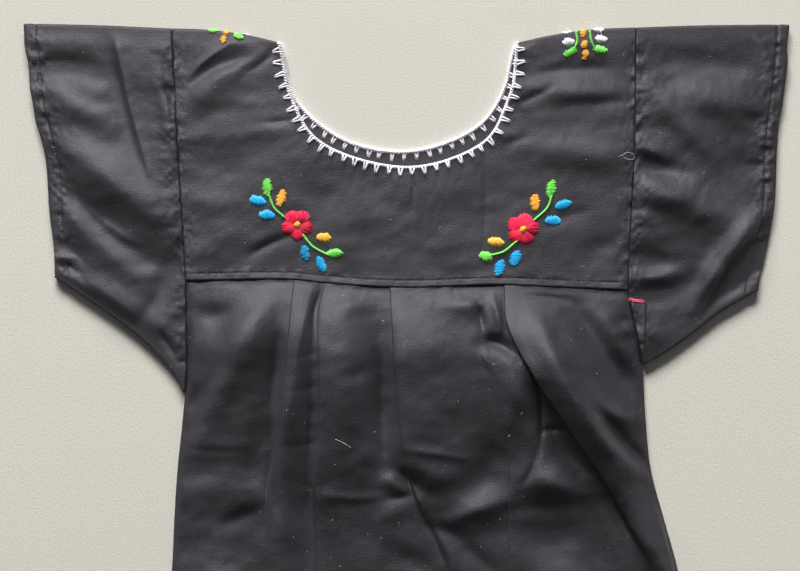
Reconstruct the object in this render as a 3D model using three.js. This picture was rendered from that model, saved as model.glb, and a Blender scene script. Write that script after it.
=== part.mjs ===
// A girl's embroidered Mexican dress, laid out flat, front upwards, with the hem towards -Y.
// Units are millimetres, Z is up, and the dress lies on the plane Z = 0.
// The yoke and each sleeve are cut in one piece and folded along the shoulder line; the skirt is
// a front panel laid in four pleats under the yoke seam and a back panel that lies flat on the ground.
// Every piece is a closed wall of cloth. Neighbours stand SEAM_GAP apart where a seam joins them.
import * as THREE from "three";

// ---------- driving sizes ----------
const WALL = 1.0; // thickness of one layer of cloth, with its share of the seams
const SEAM_GAP = 0.4; // between two pieces along a seam
const FOLD_RADIUS = 1.25; // of the cloth's middle surface where it turns over at a shoulder or an underarm
const TIGHTEST_BEND = 0.69; // of the middle surface in the skirt's pleats
const SHORTEST_LAP = 0.3; // the straight cloth between a pleat's two bends
const BACK_LEVEL = WALL / 2; // middle surface of the layer that lies on the ground
const FOLD_INSET = FOLD_RADIUS + WALL / 2; // from a fold's outer edge to where its round begins
const FOLD_LEVEL = BACK_LEVEL + 2 * FOLD_RADIUS; // middle surface of the upper layer beside a fold
const SEAM_LEVEL = 3.0; // the same beside the yoke seam, which lies on its own turnings
const REST_LEVEL = 2.35; // the same in the yoke and the sleeves away from their edges
const LOW_LEVEL = WALL * 1.5 + SEAM_GAP; // the same where the upper layer lies on the lower one
const SETTLING = 0.35; // over how much height a hollow levels out on the layer below
const SLEEVE_PUFF = 0.9; // how much higher a sleeve lies in its middle than at its edges
const SKIRT_PUFF = 2.5; // how much higher the gathered cloth below the yoke lies than at the sides
const SKIRT_REST = 0.9; // how much higher the skirt's front lies away from its sides
const HEM_Y = -290; // lowest point of the hem
const NECK_POINT_Y = 278.1; // where the neck's edges meet the shoulder line
const NECK_POINT_SHARE = 1 / 3; // of the neck beside the armhole that bends towards that point
const SHOULDER_Y = 283; // from here on the yoke rises to its shoulder fold
const PLEATS_TOP_Y = 126; // where the pleats are caught in the yoke seam
const SHOULDER_REACH = 9; // how far from its shoulder fold the yoke has come down
const SHOULDER_FADE = 18; // over how much length the yoke's soft folds start below the shoulders
const YOKE_SEAM_REACH = 10; // how far above the yoke seam the cloth is raised by its turnings
const SKIRT_SEAM_REACH = 12; // how far below it
const SIDE_REACH = 16; // how far from its sides the skirt's front rises to its full height
const SIDE_HEIGHT = 0.25; // how high its soft folds still are at the sides, as a share
const PUFF_REACH = 45; // over how much length the gathered cloth rises from the yoke seam and the sides
const PUFF_FADE = 150; // and over how much it falls again towards the hem
const EDGE_SHARE = { fold: 1 / 7, seam: 1 / 9 }; // of a sleeve: beside a fold, beside an open end
const END_HEIGHT = 0.35; // how high a soft fold still is at its ends, as a share
const TRIM_RADIUS = 0.75; // of the crocheted cord around the neck
const TRIM_REACH = TRIM_RADIUS + 0.35; // from the cloth's edge to the middle of that cord
const TRIM_CLEARANCE = 0.3; // between that cord and the ground
const THREAD_GAP = 0.3; // between the cloth and the stitched motifs on it
const THREAD_RISE = 0.8; // how high a satin-stitched motif stands at its middle
const THREAD_EDGE = 0.15; // and at its rim

// ---------- outlines, as plan curves through [x, y] ----------
const FRONT_NECK = [
  [69.5, 276], [68.1, 255.6], [62.2, 236.9], [51.6, 217.5], [26.6, 203.8], [-2.2, 199.1],
  [-41.6, 208.1], [-60.3, 220.3], [-72.2, 242.5], [-77.8, 261], [-80, 276],
];
const BACK_NECK = [
  [69.5, 276], [65.9, 262.7], [59.5, 244], [48, 227.5], [26.5, 215], [-2.2, 208.9],
  [-32.8, 213.9], [-55.8, 226.9], [-70.1, 242.6], [-76, 260], [-80, 276],
];
const YOKE_SEAM = [
  [138.4, 123.1], [95.9, 124.7], [58.4, 126.3], [-4.1, 124.6], [-50.9, 127.5], [-72.8, 129.6],
  [-137.8, 128.8],
];
const SHOULDER_BULGE = 2.4; // how far the shoulder line arches above a straight one

// Each sleeve: its fold along the top, its slanting cuff, its underarm and its armhole seam, which
// ends at the yoke seam. From there to the underarm the sleeve is sewn to the skirt's side.
const SLEEVES = {
  left: {
    fold: [[-239.1, 290], [-190, 288.8], [-146.6, 286.9]],
    cuff: [[-239.1, 290], [-234, 240], [-225.3, 204.4], [-222.8, 170], [-219.1, 130.6]],
    underarm: [[-219.1, 130.6], [-179.1, 103.8], [-160.3, 88.8], [-143.5, 71], [-137.2, 58.8]],
    armhole: [[-146.6, 286.9], [-142.8, 210.6], [-139.7, 160.6], [-137.8, 128.8]],
  },
  right: {
    fold: [[239.1, 289.4], [183.4, 288.8], [143.4, 287.5]],
    cuff: [[239.1, 289.4], [237.2, 260.6], [231.6, 215], [230.3, 179.4], [219.1, 122.5]],
    underarm: [[219.1, 122.5], [195.9, 109.4], [177.2, 95], [161.6, 83.8], [147.8, 75.6]],
    armhole: [[143.4, 287.5], [142.2, 210.6], [139.1, 148.1], [138.4, 123.1]],
  },
};

// The skirt's two sides below the yoke, by height.
const SKIRT_SIDES = [
  { y: 128.8, left: -137.8, right: 138.3 },
  { y: 123.1, left: -137.8, right: 138.4 },
  { y: 104, left: -137.7, right: 142.2 },
  { y: 75, left: -137.4, right: 147.6 },
  { y: 40, left: -140.3, right: 149.7 },
  { y: 10, left: -143.4, right: 153 },
  { y: -20, left: -145.3, right: 161 },
  { y: -52, left: -146.8, right: 169.7 },
  { y: -120, left: -152, right: 183.4 },
  { y: -200, left: -160, right: 197 },
  { y: -290, left: -171, right: 209.7 },
];
const HEM_RISE = 7; // how much higher the hem lies at the side seams than at its middle
const HEM_MIDDLE_X = 19;
const HEM_HALF_WIDTH = 190;

// ---------- folds ----------
// Pleats of the front panel, from left to right. At each height: where the upper edge lies, how far
// the cloth rises there, through how many degrees it turns over, and how far one layer laps another.
const PLEATS = {
  left_outer: [
    { y: 127, x: -70.6, rise: 2.8, turn: 180, lap: 8 },
    { y: 100, x: -72.8, rise: 3.6, turn: 172, lap: 7 },
    { y: 70, x: -75.5, rise: 4.6, turn: 150, lap: 4.2 },
    { y: 40, x: -78.6, rise: 4.8, turn: 120, lap: 3 },
    { y: 10, x: -84, rise: 3.8, turn: 85, lap: 1.6 },
    { y: -20, x: -88, rise: 2.2, turn: 40, lap: 0.5 },
    { y: -52, x: -91, rise: 1.4, turn: 22, lap: 0.5 },
    { y: -150, x: -100, rise: 2, turn: 22, lap: 0.5 },
    { y: -290, x: -114, rise: 2.4, turn: 24, lap: 0.5 },
  ],
  left_inner: [
    { y: 127, x: -51.1, rise: 2.8, turn: 180, lap: 7 },
    { y: 108, x: -55.2, rise: 3.1, turn: 165, lap: 5 },
    { y: 70, x: -54.3, rise: 3.8, turn: 135, lap: 3 },
    { y: 40, x: -54.4, rise: 4, turn: 115, lap: 2.4 },
    { y: 12, x: -56.6, rise: 3.8, turn: 90, lap: 1.4 },
    { y: -14, x: -59, rise: 2.4, turn: 45, lap: 0.5 },
    { y: -52, x: -60, rise: 1.4, turn: 24, lap: 0.5 },
    { y: -150, x: -65, rise: 2, turn: 22, lap: 0.5 },
    { y: -290, x: -72, rise: 2.4, turn: 24, lap: 0.5 },
  ],
  middle: [
    { y: 127, x: -10.9, rise: 2.8, turn: 180, lap: 8 },
    { y: 100, x: -9.4, rise: 3.6, turn: 172, lap: 6.5 },
    { y: 70, x: -7.2, rise: 4.4, turn: 150, lap: 4 },
    { y: 40, x: -4.6, rise: 4.6, turn: 120, lap: 3 },
    { y: 10, x: 0.5, rise: 3.8, turn: 85, lap: 1.6 },
    { y: -20, x: 10.5, rise: 2, turn: 35, lap: 0.5 },
    { y: -52, x: 22, rise: 1.6, turn: 24, lap: 0.5 },
    { y: -150, x: 30, rise: 2.4, turn: 24, lap: 0.5 },
    { y: -290, x: 36, rise: 2.8, turn: 26, lap: 0.5 },
  ],
  pressed_crease: [
    { y: 127, x: 36, rise: 0.1, turn: 6, lap: 0.5 },
    { y: 100, x: 40, rise: 0.1, turn: 6, lap: 0.5 },
    { y: 60, x: 54, rise: 0.1, turn: 6, lap: 0.5 },
    { y: 28, x: 62.6, rise: 0.5, turn: 30, lap: 0.5 },
    { y: -10, x: 63.4, rise: 1.2, turn: 60, lap: 0.5 },
    { y: -52, x: 63.8, rise: 1.2, turn: 55, lap: 0.5 },
    { y: -150, x: 68, rise: 2.4, turn: 40, lap: 0.5 },
    { y: -290, x: 76, rise: 3, turn: 30, lap: 0.5 },
  ],
  right_roll: [
    { y: 127, x: 60.3, rise: 2.8, turn: 180, lap: 8 },
    { y: 100, x: 62, rise: 4.8, turn: 160, lap: 5 },
    { y: 70, x: 77.6, rise: 7.4, turn: 135, lap: 4.8 },
    { y: 40, x: 98, rise: 8.4, turn: 120, lap: 4.6 },
    { y: 10, x: 119.2, rise: 8.2, turn: 105, lap: 4 },
    { y: -20, x: 136.4, rise: 6.8, turn: 80, lap: 2.4 },
    { y: -52, x: 152, rise: 4.6, turn: 48, lap: 1 },
    { y: -150, x: 172, rise: 3, turn: 32, lap: 0.5 },
    { y: -290, x: 192, rise: 2.6, turn: 28, lap: 0.5 },
  ],
};

// Soft folds: name, one end of the crest, its middle, its other end, half width and height, which is
// negative for a hollow.
const YOKE_FOLDS = [
  ["left shoulder", [-92, 269], [-118, 253], [-137, 234], 8, 2],
  ["right shoulder", [74, 246], [105, 245], [138, 239], 8, 1.8],
  ["right of the neck", [64, 217.5], [100, 209.5], [139, 207.5], 9, 1.4],
  ["left of the neck", [-78, 227.5], [-105, 221.5], [-139, 217.5], 9, 1.4],
];
const SLEEVE_FOLDS = {
  left: [
    ["broad ridge to the armhole", [-217, 218], [-181, 189], [-145, 163], 12, 4.8],
    ["valley under it", [-218, 194], [-184, 155], [-148, 136], 8, -3],
    ["second ridge", [-213, 175], [-193, 157], [-168, 134], 9, 3.6],
    ["swell by the underarm", [-190, 116], [-168, 104], [-146, 90], 9, 2.6],
    ["along the top", [-234, 276], [-208, 280], [-178, 281], 9, 2],
    ["below the top hollow", [-224, 240], [-205, 235], [-186, 226], 8, 2.3],
  ],
  right: [
    ["below the top hollow", [168, 244], [195, 240], [224, 231], 10, 3],
    ["from the armhole down", [148, 250], [172, 227], [192, 206], 8, 2.9],
    ["ridge under the pit", [143, 187], [160, 182], [180, 175], 9, 3.9],
    ["broad middle", [178, 179], [198, 168], [220, 169], 12, 3.3],
    ["from the cuff down", [222, 172], [200, 147], [180, 109], 6, 4.8],
    ["by the underarm", [142, 100], [158, 91], [174, 94], 8, 3],
  ],
};
const SKIRT_FOLDS = [
  ["left panel ridge", [-86, 120], [-106, 84], [-135, 27], 13, 4.9],
  ["valley beside the outer pleat", [-79, 106], [-85, 60], [-94, 6], 8, -2.9],
  ["hollow below the yoke, left", [-134, 113], [-117, 107], [-98, 115], 7, -2.3],
  ["hollow beside the middle pleat", [-19, 106], [-14, 58], [-18, 2], 9, -2.9],
  ["band beside the outer pleat", [-80, 0], [-81, -30], [-84, -80], 9, 2.6],
  ["swell left of the middle pleat", [-40, 116], [-38, 70], [-36, 20], 11, 2.3],
  ["bulge left of the roll", [62, 82], [67, 58], [63, 34], 9, 3.5],
  ["hollow below the bulge", [60, 26], [50, 10], [38, -10], 12, -2.9],
  ["crest of the roll", [79, 105], [107, 47], [149, 5], 9, 6.1],
  ["valley right of the roll", [97, 121], [121, 86], [148, 51], 8, -4.3],
  ["second ridge", [113, 60], [130, 45], [150, 43], 6, 3.5],
  ["swell in the top right corner", [120, 112], [131, 94], [146, 79], 9, 3.2],
  ["knob beside the pressed crease", [76, 8], [90, 4], [106, 0], 9, 4.1],
  ["lower middle", [28, -18], [44, -12], [60, -8], 9, 2.3],
  ["lower left", [-128, -20], [-118, -90], [-134, -190], 16, 3.2],
  ["left of the hem's middle", [-20, -80], [-22, -170], [-28, -290], 15, 3.8],
  ["right of the hem's middle", [104, -60], [116, -170], [124, -290], 17, 4.1],
];

// ---------- embroidery, as satin-stitched domes on the yoke ----------
const SPRAY_FLOWER = { radius: 10.3, petals: 5, waist: 0.34, tilt: 118 };
// Offsets from the flower on the wearer's right; the other side is its mirror image.
const SPRAY_LEAVES = [
  { name: "green_high", x: -18.1, y: 24.4, angle: 97, length: 10.5, width: 5.8, colour: "green" },
  { name: "yellow_high", x: -8.6, y: 16.6, angle: 80, length: 10.2, width: 5.8, colour: "yellow" },
  { name: "blue_high", x: -24.9, y: 15, angle: -22, length: 9.8, width: 6, colour: "blue" },
  { name: "blue_middle", x: -18.6, y: 5.3, angle: 2, length: 9.6, width: 6, colour: "blue" },
  { name: "green_low", x: 23.4, y: -17.8, angle: 6, length: 10, width: 6, colour: "green" },
  { name: "yellow_low", x: 16.9, y: -8.4, angle: 4, length: 9.8, width: 5.8, colour: "yellow" },
  { name: "blue_low", x: 5, y: -17.9, angle: -74, length: 9.6, width: 6, colour: "blue" },
  { name: "blue_lowest", x: 14.6, y: -24.3, angle: -64, length: 10, width: 6, colour: "blue" },
];
const LEAF_SIDE = 0.94; // how full a leaf is at its sides, as a share of an ellipse
const SPRAYS = {
  left: { x: -68.4, y: 163.8, mirror: 1 },
  right: { x: 72.8, y: 161.1, mirror: -1 },
};
const SHOULDER_MOTIFS = [
  { name: "left_yellow", x: -114.2, y: 279, angle: 96, length: 5, width: 4.2, colour: "yellow" },
  { name: "left_green", x: -104.7, y: 280.2, angle: -12, length: 6.4, width: 4.4, colour: "green" },
  { name: "yellow_dot", x: 111, y: 276.4, angle: 90, length: 5, width: 4.2, colour: "yellow" },
  { name: "yellow_tip", x: 111.6, y: 269.8, angle: 92, length: 6, width: 4, colour: "yellow" },
  { name: "green_in", x: 102.6, y: 270.6, angle: 34, length: 8.4, width: 5, colour: "green" },
  { name: "green_out", x: 121, y: 272.7, angle: -12, length: 8.4, width: 5, colour: "green" },
  { name: "white_in", x: 101, y: 277.6, angle: 20, length: 6.6, width: 4.6, colour: "white" },
  { name: "white_out", x: 121.6, y: 279.4, angle: -8, length: 6.8, width: 4.4, colour: "white" },
];

// ---------- how finely each piece is divided ----------
const TRIM_SIDES = 6;
const YOKE_RINGS = 10;
const YOKE_SIDE_STEPS = 8;
const YOKE_SEAM_STEPS = 14;
const ARC_STEPS = 4; // around each fold
const SLEEVE_RINGS = 12;
const SLEEVE_STEPS = { yoke: 12, skirt: 4 }; // down the upper layer's two seams
const LOWER_SHARE = 0.5; // of those steps in the sleeve's lower layer
const SKIRT_ROWS_UPPER = 19;
const SKIRT_ROWS_LOWER = 7;
const SKIRT_BREAK = 0.44; // share of the skirt's length that the upper rows cover
const PLEAT_ARC_STEPS = 3;
const CREST_STEPS = 16; // along a soft fold's crest
const BAND_CLEARANCE = 1.2; // from the end of a band to the pleat that laps over it
const BAND_STEPS = [8, 4, 6, 6, 6, 8]; // between the pleats, from the left side to the right
const SEAM_POINTS = 60; // at which the yoke seam's height is read
const HALVINGS = 30; // to find where a seam crosses a height
const OUTLINE_STEPS = { flower: 30, leaf: 10, shoulder: 8 };
const BACK_ROWS = 12;
const BACK_COLUMNS = 8;

// ---------- colours ----------
const COLOURS = {
  cloth: "#2c2b2e",
  cord: "#e9e7ee",
  red: "#d4103f",
  green: "#62c63a",
  yellow: "#f0ae34",
  blue: "#1ba3dd",
  white: "#e4e2ea",
};
const materialOf = Object.fromEntries(
  Object.entries(COLOURS).map(([name, color]) => [
    name,
    new THREE.MeshStandardMaterial({ name, color, roughness: name === "cloth" ? 0.85 : 0.6, metalness: 0 }),
  ]),
);

// ---------- small helpers ----------
const mix = THREE.MathUtils.lerp;
const radians = THREE.MathUtils.degToRad;
const smooth = (t) => THREE.MathUtils.smoothstep(t, 0, 1);

/** A smooth plan curve through [x, y] points. */
function curveThrough(points) {
  const places = points.map(([x, y]) => new THREE.Vector3(x, y, 0));
  return new THREE.CatmullRomCurve3(places, false, "centripetal");
}

/** Reads a column of a table whose rows are ordered by falling y, easing between rows. */
function columnAt(table, column, y) {
  const last = table.length - 1;
  if (y >= table[0].y) return table[0][column];
  if (y <= table[last].y) return table[last][column];
  const row = table.findIndex((entry) => entry.y <= y);
  const before = table[Math.max(row - 2, 0)];
  const from = table[row - 1];
  const to = table[row];
  const after = table[Math.min(row + 1, last)];
  const t = (from.y - y) / (from.y - to.y);
  const slopeFrom = ((to[column] - before[column]) / (before.y - to.y)) * (from.y - to.y);
  const slopeTo = ((after[column] - from[column]) / (from.y - after.y)) * (from.y - to.y);
  const h = t * t * (3 - 2 * t);
  return mix(from[column], to[column], h) + slopeFrom * t * (1 - t) ** 2 - slopeTo * t * t * (1 - t);
}

/** 1 on a line and falling to 0 at a distance from it. */
const near = (distance, reach) => Math.exp(-((distance / reach) ** 2));

/** A table of soft folds with each crest as points. */
function foldsOf(table) {
  return table.map(([, from, over, to, width, height]) => {
    const [start, middle, end] = [from, over, to].map((point) => new THREE.Vector2(...point));
    const bend = middle.multiplyScalar(2).sub(start.clone().lerp(end, 0.5));
    const crest = new THREE.QuadraticBezierCurve(start, bend, end).getPoints(CREST_STEPS);
    return { crest, width, height };
  });
}

/** The height that soft folds add at a point. */
function softFolds(folds, x, y) {
  let total = 0;
  const point = new THREE.Vector2(x, y);
  for (const { crest, width, height } of folds) {
    const distances = crest.map((place) => place.distanceTo(point));
    const nearest = Math.min(...distances);
    const share = distances.indexOf(nearest) / CREST_STEPS;
    const taper = mix(END_HEIGHT, 1, Math.sin(Math.PI * share));
    total += height * taper * near(nearest, width);
  }
  return total;
}

/** A closed mesh from two grids of points, one on each side of the cloth; its columns may run round. */
function clothBetween(outer, inner, wrapColumns = false) {
  const rows = outer.length;
  const columns = outer[0].length;
  const positions = [...outer.flat(), ...inner.flat()].flatMap((point) => [point.x, point.y, point.z]);
  const index = [];
  const at = (row, column, side) => (side * rows + row) * columns + (column % columns);
  const quad = (a, b, c, d) => index.push(a, b, c, a, c, d);
  const end = columns - 1;
  const lastColumn = wrapColumns ? columns : end;
  for (let row = 0; row < rows - 1; row++) {
    for (let column = 0; column < lastColumn; column++) {
      quad(at(row, column, 0), at(row, column + 1, 0), at(row + 1, column + 1, 0), at(row + 1, column, 0));
      quad(at(row, column, 1), at(row + 1, column, 1), at(row + 1, column + 1, 1), at(row, column + 1, 1));
    }
    if (wrapColumns) continue;
    quad(at(row, 0, 0), at(row + 1, 0, 0), at(row + 1, 0, 1), at(row, 0, 1));
    quad(at(row, end, 0), at(row, end, 1), at(row + 1, end, 1), at(row + 1, end, 0));
  }
  for (let column = 0; column < lastColumn; column++) {
    const [first, last] = [0, rows - 1];
    quad(at(first, column, 0), at(first, column, 1), at(first, column + 1, 1), at(first, column + 1, 0));
    quad(at(last, column, 0), at(last, column + 1, 0), at(last, column + 1, 1), at(last, column, 1));
  }
  return facingOut(positions, index);
}

/** An indexed geometry with its faces pointing out. */
function facingOut(positions, index) {
  let volume = 0;
  const corner = (n) => new THREE.Vector3(...positions.slice(3 * n, 3 * n + 3));
  for (let i = 0; i < index.length; i += 3) {
    volume += corner(index[i]).dot(corner(index[i + 1]).cross(corner(index[i + 2])));
  }
  if (volume < 0) index.reverse();
  const geometry = new THREE.BufferGeometry();
  geometry.setAttribute("position", new THREE.Float32BufferAttribute(positions, 3));
  geometry.setIndex(index);
  geometry.computeVertexNormals();
  return geometry;
}

/** The two sides of a wall around its middle surface. */
function wallAround(middle, normals) {
  const side = (offset) =>
    middle.map((row, j) => row.map((point, i) => point.clone().addScaledVector(normals[j][i], offset)));
  return [side(WALL / 2), side(-WALL / 2)];
}

// ---------- heights of the upper layer's middle surface ----------

const yokeSeam = curveThrough(YOKE_SEAM);
const yokeSeamPoints = yokeSeam.getPoints(SEAM_POINTS);
const armholes = { left: curveThrough(SLEEVES.left.armhole), right: curveThrough(SLEEVES.right.armhole) };

/** The yoke seam's height on the plan at x. */
function yokeSeamY(x) {
  const next = yokeSeamPoints.findIndex((point) => point.x <= x);
  if (next <= 0) return yokeSeamPoints[next === 0 ? 0 : yokeSeamPoints.length - 1].y;
  const a = yokeSeamPoints[next - 1];
  const b = yokeSeamPoints[next];
  return mix(a.y, b.y, (a.x - x) / (a.x - b.x));
}

/** The x at which a seam crosses a height on the plan. */
function xOnCurve(curve, y) {
  let low = 0;
  let high = 1;
  for (let n = 0; n < HALVINGS; n++) {
    const half = (low + high) / 2;
    if (curve.getPoint(half).y > y) low = half;
    else high = half;
  }
  return curve.getPoint(low).x;
}

/** The x of a side's seam at a height: the armhole, and below the yoke seam the skirt's side. */
function seamX(side, y) {
  const armhole = armholes[side];
  return y >= armhole.getPoint(1).y ? xOnCurve(armhole, y) : columnAt(SKIRT_SIDES, side, y);
}

const yokeFolds = foldsOf(YOKE_FOLDS);
const sleeveFolds = { left: foldsOf(SLEEVE_FOLDS.left), right: foldsOf(SLEEVE_FOLDS.right) };
const skirtFolds = foldsOf(SKIRT_FOLDS);

/** Keeps a height above the lowest one, easing into it. */
function settled(height, lowest) {
  return lowest + SETTLING * Math.log1p(Math.exp((height - lowest) / SETTLING));
}

function yokeLevel(x, y) {
  const fold = near(Math.max(0, SHOULDER_Y - y), SHOULDER_REACH) * (FOLD_LEVEL - REST_LEVEL);
  const seam = near(y - yokeSeamY(x), YOKE_SEAM_REACH) * (SEAM_LEVEL - REST_LEVEL);
  const inside = THREE.MathUtils.clamp((NECK_POINT_Y - y) / SHOULDER_FADE, 0, 1);
  return settled(REST_LEVEL + fold + seam + inside * softFolds(yokeFolds, x, y), LOW_LEVEL);
}

function sleeveLevel(side, x, y, across, down) {
  const inside = smooth(Math.min(down, 1 - down) / EDGE_SHARE.fold);
  const puff = SLEEVE_PUFF * Math.sin(Math.PI * Math.min(across, 1)) ** 0.5 * Math.sin(Math.PI * down);
  const open = mix(END_HEIGHT, 1, smooth(Math.min(across, 1 - across) / EDGE_SHARE.seam));
  const folds = open * softFolds(sleeveFolds[side], x, y);
  return settled(mix(FOLD_LEVEL, REST_LEVEL, inside) + inside * (puff + folds), LOW_LEVEL);
}

/** Straight up or down, and longer on a slope, where the cloth keeps its thickness. */
function normalsOf(middle, up) {
  const last = { row: middle.length - 1, column: middle[0].length - 1 };
  return middle.map((row, j) =>
    row.map((_, i) => {
      const across = middle[Math.min(j + 1, last.row)][i].clone().sub(middle[Math.max(j - 1, 0)][i]);
      const along = row[Math.min(i + 1, last.column)].clone().sub(row[Math.max(i - 1, 0)]);
      const normal = across.cross(along);
      return new THREE.Vector3(0, 0, (up * normal.length()) / Math.abs(normal.z));
    }),
  );
}

// ---------- yoke ----------

/** The front or back half of the yoke as rows from the neck to its outer edge. */
function yokeHalf(neckPoints, level, up) {
  const neck = curveThrough(neckPoints);
  const steps = 2 * YOKE_SIDE_STEPS + YOKE_SEAM_STEPS;
  const onSeam = (side, share) => {
    const inward = side === "left" ? 1 : -1;
    const [top, bottom] = [armholes[side].getPoint(0), armholes[side].getPoint(1)];
    const y = mix(top.y - FOLD_INSET, bottom.y + SEAM_GAP / 2, share);
    return new THREE.Vector3(seamX(side, y) + (inward * SEAM_GAP) / 2, y, 0);
  };
  const middle = [];
  for (let ring = 0; ring <= YOKE_RINGS; ring++) {
    const out = ring / YOKE_RINGS;
    const row = [];
    for (let step = 0; step <= steps; step++) {
      const inner = neck.getPointAt(step / steps);
      let outer;
      if (step <= YOKE_SIDE_STEPS) outer = onSeam("right", step / YOKE_SIDE_STEPS);
      else if (step >= steps - YOKE_SIDE_STEPS) outer = onSeam("left", (steps - step) / YOKE_SIDE_STEPS);
      else {
        outer = yokeSeam.getPointAt((step - YOKE_SIDE_STEPS) / YOKE_SEAM_STEPS);
        outer.y += SEAM_GAP / 2;
      }
      const fromFold = Math.min(step, steps - step) / YOKE_SIDE_STEPS;
      const byNeckPoint = Math.max(0, 1 - fromFold / NECK_POINT_SHARE);
      inner.y = mix(inner.y, NECK_POINT_Y - FOLD_INSET, byNeckPoint);
      const point = inner.lerp(outer, out);
      point.y += SHOULDER_BULGE * Math.sin(Math.PI * out) * Math.max(0, 1 - fromFold);
      point.z = level(point.x, point.y);
      row.push(point);
    }
    middle.push(row);
  }
  return { middle, normals: normalsOf(middle, up) };
}

/** Turns the cloth over from an upper point to the one below it, outwards along a plan direction. */
function turnOver(upper, lowerLevel, outwards) {
  const radius = (upper.z - lowerLevel) / 2;
  const points = [];
  for (let step = 1; step < ARC_STEPS; step++) {
    const angle = Math.PI / 2 - (Math.PI * step) / ARC_STEPS;
    const normal = new THREE.Vector3(
      outwards.x * Math.cos(angle),
      outwards.y * Math.cos(angle),
      Math.sin(angle),
    );
    const centre = new THREE.Vector3(upper.x, upper.y, lowerLevel + radius);
    points.push({ point: centre.addScaledVector(normal, radius), normal });
  }
  return points;
}

/** Joins upper and lower rows that share both ends' plan positions into closed loops. */
function loopsOf(upper, lower, outwardsAtStart, outwardsAtEnd) {
  const middle = [];
  const normals = [];
  upper.middle.forEach((row, ring) => {
    const end = row.length - 1;
    const atEnd = turnOver(row[end], BACK_LEVEL, outwardsAtEnd(ring));
    const atStart = turnOver(row[0], BACK_LEVEL, outwardsAtStart(ring)).reverse();
    middle.push([
      ...row,
      ...atEnd.map((entry) => entry.point),
      ...[...lower.middle[ring]].reverse(),
      ...atStart.map((entry) => entry.point),
    ]);
    normals.push([
      ...upper.normals[ring],
      ...atEnd.map((entry) => entry.normal),
      ...[...lower.normals[ring]].reverse(),
      ...atStart.map((entry) => entry.normal),
    ]);
  });
  return { middle, normals };
}

function makeYoke() {
  const front = yokeHalf(FRONT_NECK, yokeLevel, 1);
  const back = yokeHalf(BACK_NECK, () => BACK_LEVEL, -1);
  back.middle.forEach((row, ring) => {
    // both halves end in the same shoulder line
    for (const end of [0, row.length - 1]) {
      row[end].x = front.middle[ring][end].x;
      row[end].y = front.middle[ring][end].y;
    }
  });
  const up = new THREE.Vector2(0, 1);
  const { middle, normals } = loopsOf(front, back, () => up, () => up);
  return { geometry: clothBetween(...wallAround(middle, normals), true), middle, normals };
}

/** The crocheted cord that edges the neck: a closed tube beside the yoke's inner edge. */
function makeNeckTrim(yoke) {
  const edge = yoke.middle[0];
  const rows = edge.map((point, i) => {
    const normal = yoke.normals[0][i].clone().normalize();
    const along = edge[(i + 1) % edge.length].clone().sub(edge[(i - 1 + edge.length) % edge.length]);
    const intoNeck = along.cross(normal).normalize();
    if (intoNeck.dot(point.clone().sub(yoke.middle[1][i])) < 0) intoNeck.negate();
    const centre = point.clone().addScaledVector(intoNeck, TRIM_REACH);
    return Array.from({ length: TRIM_SIDES }, (_, n) => {
      const angle = (2 * Math.PI * (n + 0.5)) / TRIM_SIDES;
      return centre
        .clone()
        .addScaledVector(intoNeck, Math.cos(angle) * TRIM_RADIUS)
        .addScaledVector(normal, Math.sin(angle) * TRIM_RADIUS);
    });
  });
  // it hangs clear of the ground behind the neck
  const positions = rows.flat().flatMap((point) => [point.x, point.y, Math.max(point.z, TRIM_CLEARANCE)]);
  const index = [];
  rows.forEach((_, row) => {
    const next = (row + 1) % rows.length;
    for (let n = 0; n < TRIM_SIDES; n++) {
      const beside = (n + 1) % TRIM_SIDES;
      const [a, b] = [row * TRIM_SIDES + n, row * TRIM_SIDES + beside];
      const [c, d] = [next * TRIM_SIDES + beside, next * TRIM_SIDES + n];
      index.push(a, b, c, a, c, d);
    }
  });
  return facingOut(positions, index);
}

// ---------- sleeves ----------

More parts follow.
